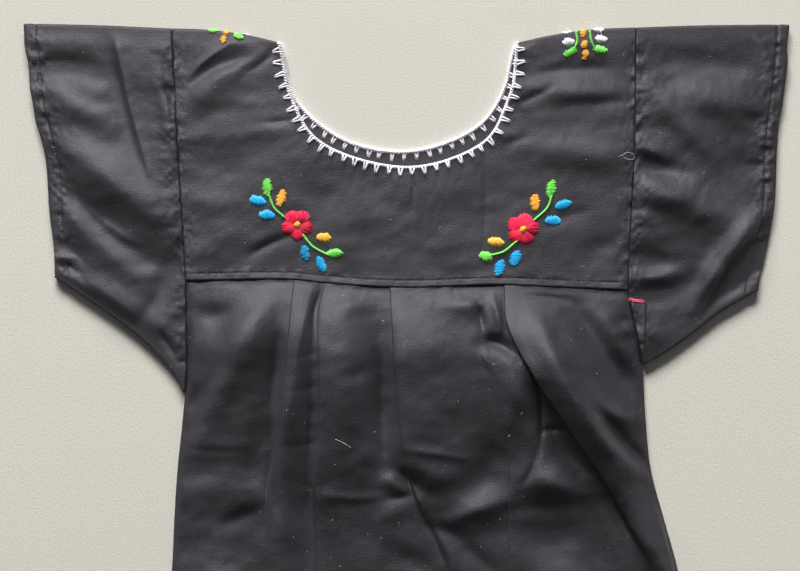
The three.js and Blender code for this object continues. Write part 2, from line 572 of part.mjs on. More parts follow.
/** A sleeve: one piece folded along the top and closed along the underarm, open at cuff and armhole. */
function makeSleeve(side) {
  const outline = SLEEVES[side];
  const outwards = side === "left" ? -1 : 1;
  const [fold, cuff, underarm] = ["fold", "cuff", "underarm"].map((edge) => curveThrough(outline[edge]));
  const underarmOut = (across) => {
    const along = underarm.getTangent(across);
    const out = new THREE.Vector2(along.y, -along.x);
    return out.y < 0 ? out : out.negate();
  };
  const top = (across) => fold.getPoint(across).add(new THREE.Vector3(0, -FOLD_INSET, 0));
  const bottom = (across) => {
    const out = underarmOut(across);
    return underarm.getPoint(across).add(new THREE.Vector3(-out.x * FOLD_INSET, -out.y * FOLD_INSET, 0));
  };
  const onCuff = (down) => {
    const y = mix(top(0).y, bottom(0).y, down);
    return new THREE.Vector3(xOnCurve(cuff, y), y, 0);
  };
  const onArmhole = (down) => {
    const y = mix(top(1).y, bottom(1).y, down);
    return new THREE.Vector3(seamX(side, y) + (outwards * SEAM_GAP) / 2, y, 0);
  };
  // between the two folds and the two open ends, meeting all four exactly
  const place = (across, down) => {
    const pastTop = onCuff(0).sub(top(0)).lerp(onArmhole(0).sub(top(1)), across);
    const pastBottom = onCuff(1).sub(bottom(0)).lerp(onArmhole(1).sub(bottom(1)), across);
    const straightCuff = onCuff(0).lerp(onCuff(1), down);
    const straightArmhole = onArmhole(0).lerp(onArmhole(1), down);
    return top(across)
      .add(pastTop)
      .lerp(bottom(across).add(pastBottom), down)
      .add(onCuff(down).sub(straightCuff).multiplyScalar(1 - across))
      .add(onArmhole(down).sub(straightArmhole).multiplyScalar(across));
  };
  const yokeShare = (top(1).y - armholes[side].getPoint(1).y) / (top(1).y - bottom(1).y);
  const layer = (share, up) => {
    const steps = { yoke: SLEEVE_STEPS.yoke * share, skirt: SLEEVE_STEPS.skirt * share };
    const middle = [];
    for (let ring = 0; ring <= SLEEVE_RINGS; ring++) {
      const across = ring / SLEEVE_RINGS;
      const row = [];
      for (let step = 0; step <= steps.yoke + steps.skirt; step++) {
        const down =
          step <= steps.yoke
            ? (yokeShare * step) / steps.yoke
            : mix(yokeShare, 1, (step - steps.yoke) / steps.skirt);
        const point = place(across, down);
        point.z = up > 0 ? sleeveLevel(side, point.x, point.y, across, down) : BACK_LEVEL;
        row.push(point);
      }
      middle.push(row);
    }
    return { middle, normals: normalsOf(middle, up) };
  };
  const upper = layer(1, 1);
  const lower = layer(LOWER_SHARE, -1);
  const up = new THREE.Vector2(0, 1);
  const { middle, normals } = loopsOf(
    upper,
    lower,
    () => up,
    (ring) => underarmOut(ring / SLEEVE_RINGS),
  );
  return clothBetween(...wallAround(middle, normals), true);
}

// ---------- skirt ----------

/** Where a share of the way down the skirt lies on the plan, at x. */
function skirtY(x, down) {
  const sideways = (x - HEM_MIDDLE_X) / HEM_HALF_WIDTH;
  const hem = HEM_Y + HEM_RISE * Math.min(1, sideways ** 2);
  return mix(yokeSeamY(x) - SEAM_GAP / 2, hem, down);
}

/** Shares of the way down at which the front panel has its rows. */
function skirtRows() {
  const upper = Array.from({ length: SKIRT_ROWS_UPPER }, (_, n) => (SKIRT_BREAK * n) / SKIRT_ROWS_UPPER);
  const lower = Array.from(
    { length: SKIRT_ROWS_LOWER + 1 },
    (_, n) => SKIRT_BREAK + ((1 - SKIRT_BREAK) * n) / SKIRT_ROWS_LOWER,
  );
  return [...upper, ...lower];
}

/** One pleat's section: an arc up and over, a straight lap and an arc back, as {x, z}. */
function pleatSection(pleat, y) {
  const edge = columnAt(pleat, "x", y);
  const rise = columnAt(pleat, "rise", y);
  const turn = radians(Math.min(180, columnAt(pleat, "turn", y)));
  const roomForLap = (rise - 2 * TIGHTEST_BEND * (1 - Math.cos(turn))) / Math.max(Math.sin(turn), 0.01);
  const lap = THREE.MathUtils.clamp(columnAt(pleat, "lap", y), SHORTEST_LAP, roomForLap);
  const radius = (rise - lap * Math.sin(turn)) / (2 * (1 - Math.cos(turn)));
  const start = edge + radius + WALL / 2 - 2 * radius * Math.sin(turn) - lap * Math.cos(turn);
  const points = [];
  for (let step = 0; step <= PLEAT_ARC_STEPS; step++) {
    const angle = (turn * step) / PLEAT_ARC_STEPS;
    points.push({ x: start + radius * Math.sin(angle), z: radius * (1 - Math.cos(angle)) });
  }
  const over = {
    x: start + 2 * radius * Math.sin(turn) + lap * Math.cos(turn),
    z: rise - radius,
  };
  for (let step = 0; step <= PLEAT_ARC_STEPS; step++) {
    const angle = turn * (1 - step / PLEAT_ARC_STEPS);
    points.push({ x: over.x - radius * Math.sin(angle), z: over.z + radius * Math.cos(angle) });
  }
  return points;
}

/** Where the skirt's two side edges lie, a share of the way down. */
function skirtEdges(down) {
  return ["left", "right"].map((side, n) => {
    let x = columnAt(SKIRT_SIDES, side, mix(SKIRT_SIDES[0].y, HEM_Y, down));
    for (let pass = 0; pass < 3; pass++) x = seamX(side, skirtY(x, down));
    return x + (n === 0 ? SEAM_GAP : -SEAM_GAP) / 2;
  });
}

/** The front panel's section a share of the way down: the cloth from side to side over every pleat. */
function skirtSection(down) {
  const [left, right] = skirtEdges(down);
  const y = mix(PLEATS_TOP_Y, HEM_Y, down);
  const pleats = Object.values(PLEATS).map((pleat) => pleatSection(pleat, y));
  const section = [{ x: left, z: 0 }];
  [...pleats, [{ x: right, z: 0 }]].forEach((next, band) => {
    // each band clears the fold below it, then comes down before the next pleat laps over it
    const from = section[section.length - 1];
    const begin = Math.max(from.x, ...(pleats[band - 1] ?? []).map((point) => point.x)) + WALL;
    const end = Math.min(...next.map((point) => point.x)) - BAND_CLEARANCE;
    const steps = BAND_STEPS[band] - 2;
    for (let step = 0; step <= steps; step++) {
      const share = step / steps;
      section.push({ x: mix(begin, end, share), z: from.z * (1 - smooth(share)) });
    }
    section.push(...next);
  });
  return section;
}

/** How far the front panel is lifted off the back one at a point. */
function skirtLift(x, y) {
  const fromSide = Math.min(x - columnAt(SKIRT_SIDES, "left", y), columnAt(SKIRT_SIDES, "right", y) - x);
  const below = yokeSeamY(x) - y;
  const inner = smooth(fromSide / SIDE_REACH);
  const gathered = smooth(fromSide / PUFF_REACH) * smooth(below / PUFF_REACH);
  const puff = SKIRT_PUFF * gathered * (1 - smooth((below - PUFF_REACH) / PUFF_FADE));
  const folds = mix(SIDE_HEIGHT, 1, inner) * softFolds(skirtFolds, x, y);
  const seam = near(below, SKIRT_SEAM_REACH);
  return settled(mix(SKIRT_REST * inner + puff + folds, SEAM_LEVEL - LOW_LEVEL, seam), 0);
}

/** How steeply the lift slopes at a point, as how much taller the wall must be to keep its thickness. */
function liftStretch(x, y) {
  const step = WALL / 2;
  const along = (skirtLift(x + step, y) - skirtLift(x - step, y)) / WALL;
  const down = (skirtLift(x, y + step) - skirtLift(x, y - step)) / WALL;
  return Math.hypot(1, along, down);
}

function makeSkirtFront() {
  const outer = [];
  const inner = [];
  for (const down of skirtRows()) {
    const section = skirtSection(down);
    const rows = [[], []];
    section.forEach(({ x, z }, i) => {
      const before = section[Math.max(i - 1, 0)];
      const after = section[Math.min(i + 1, section.length - 1)];
      const along = new THREE.Vector2(after.x - before.x, after.z - before.z).normalize();
      [1, -1].forEach((side, which) => {
        const px = x - (along.y * side * WALL) / 2;
        const py = skirtY(px, down);
        const pz = z + (along.x * side * WALL * liftStretch(px, py)) / 2;
        rows[which].push(new THREE.Vector3(px, py, LOW_LEVEL + pz + skirtLift(px, py)));
      });
    });
    outer.push(rows[0]);
    inner.push(rows[1]);
  }
  return clothBetween(outer, inner);
}

function makeSkirtBack() {
  const middle = [];
  for (let row = 0; row <= BACK_ROWS; row++) {
    const down = row / BACK_ROWS;
    const [left, right] = skirtEdges(down);
    middle.push(
      Array.from({ length: BACK_COLUMNS + 1 }, (_, n) => {
        const x = mix(left, right, n / BACK_COLUMNS);
        return new THREE.Vector3(x, skirtY(x, down), BACK_LEVEL);
      }),
    );
  }
  const normals = middle.map((row) => row.map(() => new THREE.Vector3(0, 0, 1)));
  return clothBetween(...wallAround(middle, normals));
}

// ---------- embroidery ----------

/** A low dome of thread on the yoke, from the radius of its outline by angle. */
function domeOnYoke(centre, outline, steps) {
  const rings = [
    { share: 1, rise: 0 },
    { share: 0.92, rise: 0.6 },
    { share: 0.45, rise: 1 },
  ];
  const lowest = (x, y) => yokeLevel(x, y) + WALL / 2 + THREAD_GAP;
  const positions = [];
  const put = (share, angle, rise) => {
    const radius = outline(angle) * share;
    const x = centre.x + radius * Math.cos(angle);
    const y = centre.y + radius * Math.sin(angle);
    positions.push(x, y, lowest(x, y) + rise);
  };
  const turns = Array.from({ length: steps }, (_, step) => (2 * Math.PI * step) / steps);
  for (const { share, rise } of rings) {
    for (const angle of turns) put(share, angle, THREAD_EDGE + rise * THREAD_RISE);
  }
  for (const angle of turns) put(1, angle, 0);
  put(0, 0, THREAD_EDGE + THREAD_RISE);
  put(0, 0, 0);
  const top = positions.length / 3 - 2;
  const base = rings.length * steps;
  const index = [];
  for (let step = 0; step < steps; step++) {
    const next = (step + 1) % steps;
    for (let ring = 0; ring + 1 < rings.length; ring++) {
      const a = ring * steps;
      const b = a + steps;
      index.push(a + step, a + next, b + next, a + step, b + next, b + step);
    }
    const crown = (rings.length - 1) * steps;
    index.push(crown + step, crown + next, top);
    index.push(base + step, base + next, next, base + step, next, step);
    index.push(base + next, base + step, top + 1);
  }
  return facingOut(positions, index);
}

/** A leaf's outline: an ellipse drawn out to a point at each end. */
function leafOutline(angle, length, width) {
  return (direction) => {
    const turned = direction - radians(angle);
    const a = length / 2;
    const b = width / 2;
    const ellipse = (a * b) / Math.hypot(b * Math.cos(turned), a * Math.sin(turned));
    return ellipse * mix(LEAF_SIDE, 1, Math.abs(Math.cos(turned)));
  };
}

function flowerOutline({ radius, petals, waist, tilt }, mirror) {
  const turn = mirror > 0 ? radians(tilt) : Math.PI - radians(tilt);
  return (direction) => {
    const lobe = Math.abs(Math.cos((petals * (direction - turn)) / 2));
    return radius * (1 - waist + waist * Math.sqrt(lobe));
  };
}

function makeEmbroidery() {
  const made = [];
  for (const [side, spray] of Object.entries(SPRAYS)) {
    made.push({
      name: `${side}_flower`,
      colour: "red",
      geometry: domeOnYoke(spray, flowerOutline(SPRAY_FLOWER, spray.mirror), OUTLINE_STEPS.flower),
    });
    for (const leaf of SPRAY_LEAVES) {
      const centre = { x: spray.x + spray.mirror * leaf.x, y: spray.y + leaf.y };
      const angle = spray.mirror > 0 ? leaf.angle : 180 - leaf.angle;
      made.push({
        name: `${side}_${leaf.name}`,
        colour: leaf.colour,
        geometry: domeOnYoke(centre, leafOutline(angle, leaf.length, leaf.width), OUTLINE_STEPS.leaf),
      });
    }
  }
  for (const leaf of SHOULDER_MOTIFS) {
    made.push({
      name: `shoulder_${leaf.name}`,
      colour: leaf.colour,
      geometry: domeOnYoke(leaf, leafOutline(leaf.angle, leaf.length, leaf.width), OUTLINE_STEPS.shoulder),
    });
  }
  return made;
}

// ---------- the dress ----------
const dress = new THREE.Group();
dress.name = "dress";

function addPiece(name, geometry, material) {
  const mesh = new THREE.Mesh(geometry, material);
  mesh.name = name;
  dress.add(mesh);
}

const yoke = makeYoke();
addPiece("yoke", yoke.geometry, materialOf.cloth);
addPiece("neck_trim", makeNeckTrim(yoke), materialOf.cord);
addPiece("sleeve_left", makeSleeve("left"), materialOf.cloth);
addPiece("sleeve_right", makeSleeve("right"), materialOf.cloth);
addPiece("skirt_front", makeSkirtFront(), materialOf.cloth);
addPiece("skirt_back", makeSkirtBack(), materialOf.cloth);
for (const { name, colour, geometry } of makeEmbroidery()) addPiece(name, geometry, materialOf[colour]);

export default dress;
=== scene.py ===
"""A girl's embroidered Mexican dress, laid out flat on a pale surface with its front upwards.

Lengths in the tables are millimetres in the part's own frame: Z is up, the hem lies towards -Y and
the wearer's left is +X. Meshes are made in metres, where their CAD solids lie.
"""

import math

import bpy
import numpy as np
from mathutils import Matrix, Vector


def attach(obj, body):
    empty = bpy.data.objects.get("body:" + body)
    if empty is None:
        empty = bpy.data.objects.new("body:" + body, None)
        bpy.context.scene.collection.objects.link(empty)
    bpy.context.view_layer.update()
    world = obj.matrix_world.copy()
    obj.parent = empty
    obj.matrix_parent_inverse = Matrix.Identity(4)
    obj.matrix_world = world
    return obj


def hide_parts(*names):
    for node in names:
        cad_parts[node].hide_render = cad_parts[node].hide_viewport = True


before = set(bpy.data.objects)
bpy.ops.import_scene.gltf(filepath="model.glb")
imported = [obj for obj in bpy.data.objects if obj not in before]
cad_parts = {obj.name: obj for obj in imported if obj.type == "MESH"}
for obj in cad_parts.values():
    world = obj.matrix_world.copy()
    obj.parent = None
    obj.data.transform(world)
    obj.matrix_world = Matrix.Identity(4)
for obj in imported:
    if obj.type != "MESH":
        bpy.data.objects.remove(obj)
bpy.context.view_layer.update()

bl_info = {
    "name": "Embroidered Mexican dress",
    "version": (1, 0, 0),
    "blender": (4, 5, 0),
    "location": "3D View > Sidebar > Dress",
    "description": "Builds a girl's black cotton dress with satin-stitched flowers, laid out flat",
    "category": "Add Mesh",
}

MM = 0.001

# ---------------- the cut, as the solids have it

WALL = 1.0
SEAM_GAP = 0.4
FOLD_RADIUS = 1.25
FOLD_INSET = FOLD_RADIUS + WALL / 2
TIGHTEST_BEND = 0.69
BACK_LEVEL = WALL / 2
FOLD_LEVEL = BACK_LEVEL + 2 * FOLD_RADIUS
SEAM_LEVEL = 3.0
YOKE_REST = 2.35
LOW_LEVEL = WALL * 1.5 + SEAM_GAP
YOKE_FLOOR, SKIRT_FLOOR = 1.3, 1.25  # how low an upper layer may come
HEM_Y = -290.0
HEM_RISE = 7.0
SHOULDER_BULGE = 2.4
SLEEVE_PUFF = 0.9
SKIRT_PUFF = 6.5
NECK_POINT_Y = 278.1

FRONT_NECK = (
    (69.5, 276), (68.1, 255.6), (62.2, 236.9), (51.6, 217.5), (26.6, 203.8), (-2.2, 199.1),
    (-41.6, 208.1), (-60.3, 220.3), (-72.2, 242.5), (-77.8, 261), (-80, 276),
)
BACK_NECK = (
    (69.5, 276), (65.9, 262.7), (59.5, 244), (48, 227.5), (26.5, 215), (-2.2, 208.9),
    (-32.8, 213.9), (-55.8, 226.9), (-70.1, 242.6), (-76, 260), (-80, 276),
)
YOKE_SEAM = (
    (138.4, 123.1), (95.9, 124.7), (58.4, 126.3), (-4.1, 124.6),
    (-50.9, 127.5), (-72.8, 129.6), (-137.8, 128.8),
)
SLEEVES = {
    "left": {
        "fold": ((-239.1, 290), (-190, 288.8), (-146.6, 286.9)),
        "cuff": ((-239.1, 290), (-234, 240), (-225.3, 204.4), (-222.8, 170), (-219.1, 130.6)),
        "underarm": ((-219.1, 130.6), (-179.1, 103.8), (-160.3, 88.8), (-143.5, 71), (-137.2, 58.8)),
        "armhole": ((-146.6, 286.9), (-142.8, 210.6), (-139.7, 160.6), (-137.8, 128.8)),
    },
    "right": {
        "fold": ((239.1, 289.4), (183.4, 288.8), (143.4, 287.5)),
        "cuff": ((239.1, 289.4), (237.2, 260.6), (231.6, 215), (230.3, 179.4), (219.1, 122.5)),
        "underarm": ((219.1, 122.5), (195.9, 109.4), (177.2, 95), (161.6, 83.8), (147.8, 75.6)),
        "armhole": ((143.4, 287.5), (142.2, 210.6), (139.1, 148.1), (138.4, 123.1)),
    },
}
SIDE_COLUMNS = ("y", "left", "right")
SKIRT_SIDES = (
    (128.8, -137.8, 138.3), (123.1, -137.8, 138.4), (104, -137.7, 142.2), (75, -137.4, 147.6),
    (40, -140.3, 149.7), (10, -143.4, 153), (-20, -145.3, 161), (-52, -146.8, 169.7),
    (-120, -152, 183.4), (-200, -160, 197), (-290, -171, 209.7),
)
# Each pleat from the yoke seam to the hem: where its upper edge lies, its rise, turn in degrees and lap.
PLEAT_COLUMNS = ("y", "x", "rise", "turn", "lap")
PLEATS = {
    "left_outer": (
        (127, -70.6, 2.8, 180, 8), (100, -72.8, 3.6, 172, 7), (70, -75.5, 4.6, 150, 4.2),
        (40, -78.6, 4.8, 120, 3), (10, -84, 3.8, 85, 1.6), (-20, -88, 2.2, 40, 0.5),
        (-52, -91, 1.4, 22, 0.5), (-150, -100, 2, 22, 0.5), (-290, -114, 2.4, 24, 0.5),
    ),
    "left_inner": (
        (127, -51.1, 2.8, 180, 7), (108, -55.2, 3.1, 165, 5), (70, -54.3, 3.8, 135, 3),
        (40, -54.4, 4, 115, 2.4), (12, -56.6, 3.8, 90, 1.4), (-14, -59, 2.4, 45, 0.5),
        (-52, -60, 1.4, 24, 0.5), (-150, -65, 2, 22, 0.5), (-290, -72, 2.4, 24, 0.5),
    ),
    "middle": (
        (127, -10.9, 2.8, 180, 8), (100, -9.4, 3.6, 172, 6.5), (70, -7.2, 4.4, 150, 4),
        (40, -4.6, 4.6, 120, 3), (10, 0.5, 3.8, 85, 1.6), (-20, 10.5, 2, 35, 0.5),
        (-52, 22, 1.6, 24, 0.5), (-150, 30, 2.4, 24, 0.5), (-290, 36, 2.8, 26, 0.5),
    ),
    "pressed_crease": (
        (127, 36, 0.1, 6, 0.5), (100, 40, 0.1, 6, 0.5), (60, 54, 0.1, 6, 0.5),
        (28, 62.6, 0.5, 30, 0.5), (-10, 63.4, 1.2, 60, 0.5), (-52, 63.8, 1.2, 55, 0.5),
        (-150, 68, 2.4, 40, 0.5), (-290, 76, 3, 30, 0.5),
    ),
    "right_roll": (
        (127, 60.3, 2.8, 180, 8), (100, 62, 4.8, 160, 5), (70, 77.6, 7.4, 135, 4.8),
        (40, 98, 8.4, 120, 4.6), (10, 119.2, 8.2, 105, 4), (-20, 136.4, 6.8, 80, 2.4),
        (-52, 152, 4.6, 48, 1), (-150, 172, 3, 32, 0.5), (-290, 192, 2.6, 28, 0.5),
    ),
}

# Folds and creases: name, one end of the crest, over which point, the other end, half width, height, and
# for a crease sharper than a round fold how its flanks fall, nearer 1 the sharper. A hollow has a negative
# height.
ROUND = 2.0
YOKE_FOLDS = (
    ("left shoulder", (-92, 269), (-118, 253), (-137, 234), 8, 2),
    ("right shoulder", (74, 246), (105, 245), (138, 239), 8, 1.8),
    ("right of the neck", (64, 217.5), (100, 209.5), (139, 207.5), 9, 1.4),
    ("left of the neck", (-78, 227.5), (-105, 221.5), (-139, 217.5), 9, 1.4),
)
SLEEVE_FOLDS = {
    "left": (
        ("broad ridge to the armhole", (-217, 218), (-181, 189), (-145, 163), 12, 4.8),
        ("valley under it", (-218, 194), (-184, 155), (-148, 136), 8, -3),
        ("second ridge", (-213, 175), (-193, 157), (-168, 134), 9, 3.6),
        ("swell by the underarm", (-190, 116), (-168, 104), (-146, 90), 9, 2.6),
        ("along the top", (-234, 276), (-208, 280), (-178, 281), 9, 2),
        ("below the top hollow", (-224, 240), (-205, 235), (-186, 226), 8, 2.3),
    ),
    "right": (
        ("below the top hollow", (168, 244), (195, 240), (224, 231), 10, 3),
        ("from the armhole down", (148, 250), (172, 227), (192, 206), 8, 2.9),
        ("ridge under the pit", (143, 187), (160, 182), (180, 175), 9, 3.9),
        ("broad middle", (178, 179), (198, 168), (220, 169), 12, 3.3),
        ("from the cuff down", (222, 172), (200, 147), (180, 109), 6, 4.8),
        ("by the underarm", (142, 100), (158, 91), (174, 94), 8, 3),
    ),
}
SKIRT_FOLDS = (
    ("left panel ridge", (-86, 120), (-106, 84), (-135, 27), 13, 4.9),
    ("valley beside the outer pleat", (-79, 106), (-85, 60), (-94, 6), 8, -2.9),
    ("hollow below the yoke, left", (-134, 113), (-117, 107), (-98, 115), 7, -2.3),
    ("hollow beside the middle pleat", (-19, 106), (-14, 58), (-18, 2), 9, -2.9),
    ("band beside the outer pleat", (-80, 0), (-81, -30), (-84, -80), 9, 2.6),
    ("swell left of the middle pleat", (-40, 116), (-38, 70), (-36, 20), 11, 2.3),
    ("bulge left of the roll", (62, 82), (67, 58), (63, 34), 9, 3.5),
    ("hollow below the bulge", (60, 26), (50, 10), (38, -10), 12, -2.9),
    ("crest of the roll", (79, 105), (107, 47), (149, 5), 9, 6.1),
    ("valley right of the roll", (97, 121), (121, 86), (148, 51), 8, -4.3),
    ("second ridge", (113, 60), (130, 45), (150, 43), 6, 3.5),
    ("swell in the top right corner", (120, 112), (131, 94), (146, 79), 9, 3.2),
    ("knob beside the pressed crease", (76, 8), (90, 4), (106, 0), 9, 4.1),
    ("lower middle", (28, -18), (44, -12), (60, -8), 9, 2.3),
    ("lower left", (-128, -20), (-118, -90), (-134, -190), 16, 3.2),
    ("left of the hem's middle", (-20, -80), (-22, -170), (-28, -290), 15, 3.8),
    ("right of the hem's middle", (104, -60), (116, -170), (124, -290), 17, 4.1),
)

# ---------------- the finer creases of the cloth

YOKE_CREASES = (
    ("ridge by the left armhole", (-135, 256.3), (-124, 267.3), (-108, 277.3), 2.6, 1.4, 1.4),
    ("valley under that ridge", (-137, 249.4), (-122, 260.4), (-105, 270.4), 4, -1.2, 1.8),
    ("dent at the left shoulder", (-114, 262.1), (-107, 266.1), (-98, 269.1), 3, -1.1, 1.7),
    ("dent left of the neck", (-100, 259.1), (-90, 265.1), (-81, 274.1), 3, -1, 1.7),
    ("left crease across the yoke", (-138, 237.4), (-113, 242.4), (-85, 238.4), 8, 0.7),
    ("groove beside the neck, left", (-90, 227.1), (-81, 228.1), (-72, 229.1), 3, -1, 1.6),
    ("soft diagonal by the left spray", (-98, 145.1), (-85, 152.1), (-72, 157.1), 3, -1.4, 1.6),
    ("left lower swell", (-132, 135.2), (-120, 150.2), (-104, 157.2), 10, 1.2),
    ("left armhole hollow", (-138, 205.8), (-127, 197.8), (-112, 193.8), 9, -0.4),
    ("left middle ridge", (-135, 181.4), (-119, 177.4), (-100, 179.4), 7, 0.8),
    ("groove right of the neck", (71, 240.1), (80, 244.1), (90, 249.1), 3, -1.1, 1.6),
    ("long valley right", (100, 239.4), (120, 240.4), (138, 241.4), 4, -1.2, 1.8),
    ("ridge over the long valley", (96, 245.1), (120, 248.1), (140, 249.1), 6, 0.8),
    ("valley under the right motif", (83, 259.4), (105, 261.4), (127, 261.4), 4, -1.1, 1.8),
    ("groove below the neck, right", (60, 214.1), (68, 216.1), (77, 219.1), 3, -0.8, 1.6),
    ("right middle swell", (96, 211.2), (116, 205.2), (138, 208.2), 9, 1),
    ("right lower hollow", (105, 135.8), (121, 148.8), (137, 160.8), 8, -1.1),
    ("upright line right of centre", (48, 205), (49, 170), (47, 131), 1.6, -0.5, 1.3),
    ("upright line below the neck", (4, 190), (4, 182), (3, 173), 1.6, -0.5, 1.3),
    ("upright swell left of centre", (-34, 185.5), (-35, 159.5), (-33, 127.5), 10, 0.7),
    ("crease to the right spray", (88, 162.4), (101, 169.4), (115, 172.4), 2.4, -0.6, 1.5),
    ("right armhole swell", (123, 173.8), (131, 155.8), (132, 130.8), 8, 1),
)
SLEEVE_CREASES = {
    "left": (
        ("sharp ridge from the top", (-182.5, 287), (-174, 244), (-160, 195), 2.6, 1.6, 1.4),
        ("valley left of that ridge", (-188, 284), (-180, 246), (-166, 202), 6, -1.7),
        ("hollow along the top", (-232, 262), (-210, 262), (-186, 254), 8, -2.5),
        ("ridge near the cuff", (-226, 250), (-216, 247), (-206, 240), 5, 1.2, 1.8),
        ("ridge by the armhole, high", (-156, 262), (-150, 236), (-144, 204), 5, 1.3),
        ("hollow by the armhole, high", (-152, 252), (-147, 246), (-142, 242), 4, -1.7, 1.8),
        ("valley by the armhole, low", (-142, 146), (-154, 122), (-168, 100), 6, -1.7),
        ("underarm puckers", (-154, 96), (-148, 87), (-143, 76), 3, -1.6, 1.6),
        ("dent by the cuff, low", (-219, 154), (-209, 148), (-200, 138), 5, -1.7, 1.8),
        ("dent by the cuff, lowest", (-218, 141), (-209, 136), (-199, 128), 4, -1.2, 1.8),
        ("swell above the underarm", (-214, 128), (-188, 118), (-158, 104), 14, 2.2),
        ("small ridge in the valley", (-196, 172), (-182, 160), (-168, 152), 3, 0.7, 1.8),
    ),
    "right": (
        ("hollow along the top", (160, 268), (190, 264), (218, 262), 9, -2.5),
        ("ridge beside the cuff, top", (218, 281), (225, 267), (228, 250), 3, 1.3, 1.6),
        ("pit by the armhole", (145, 203), (156, 200), (171, 197), 6, -3.6),
        ("short ridge over the pit", (143, 214), (152, 210), (160, 204), 4, 1.7, 1.8),
        ("dent by the cuff", (203, 204), (214, 201), (227, 200), 6, -2.2, 1.8),
        ("dent by the cuff, high", (210, 233), (219, 228), (229, 225), 5, -1.7, 1.8),
        ("valley beside the long crease", (228, 158), (210, 134), (192, 108), 8, -3.4),
        ("edge of the long crease", (223, 170), (203, 146), (184, 108), 2.2, 1.7, 1.3),
        ("second pit by the armhole", (141, 146), (152, 142), (167, 140), 7, -3),
        ("third pit by the armhole", (141, 121), (158, 120), (178, 128), 7, -2.6),
        ("ridge between the pits", (143, 133), (154, 131), (168, 134), 4, 1.2, 1.8),
        ("swell by the armhole", (146, 174), (150, 167), (156, 160), 5, 1.1, 1.8),
    ),
}
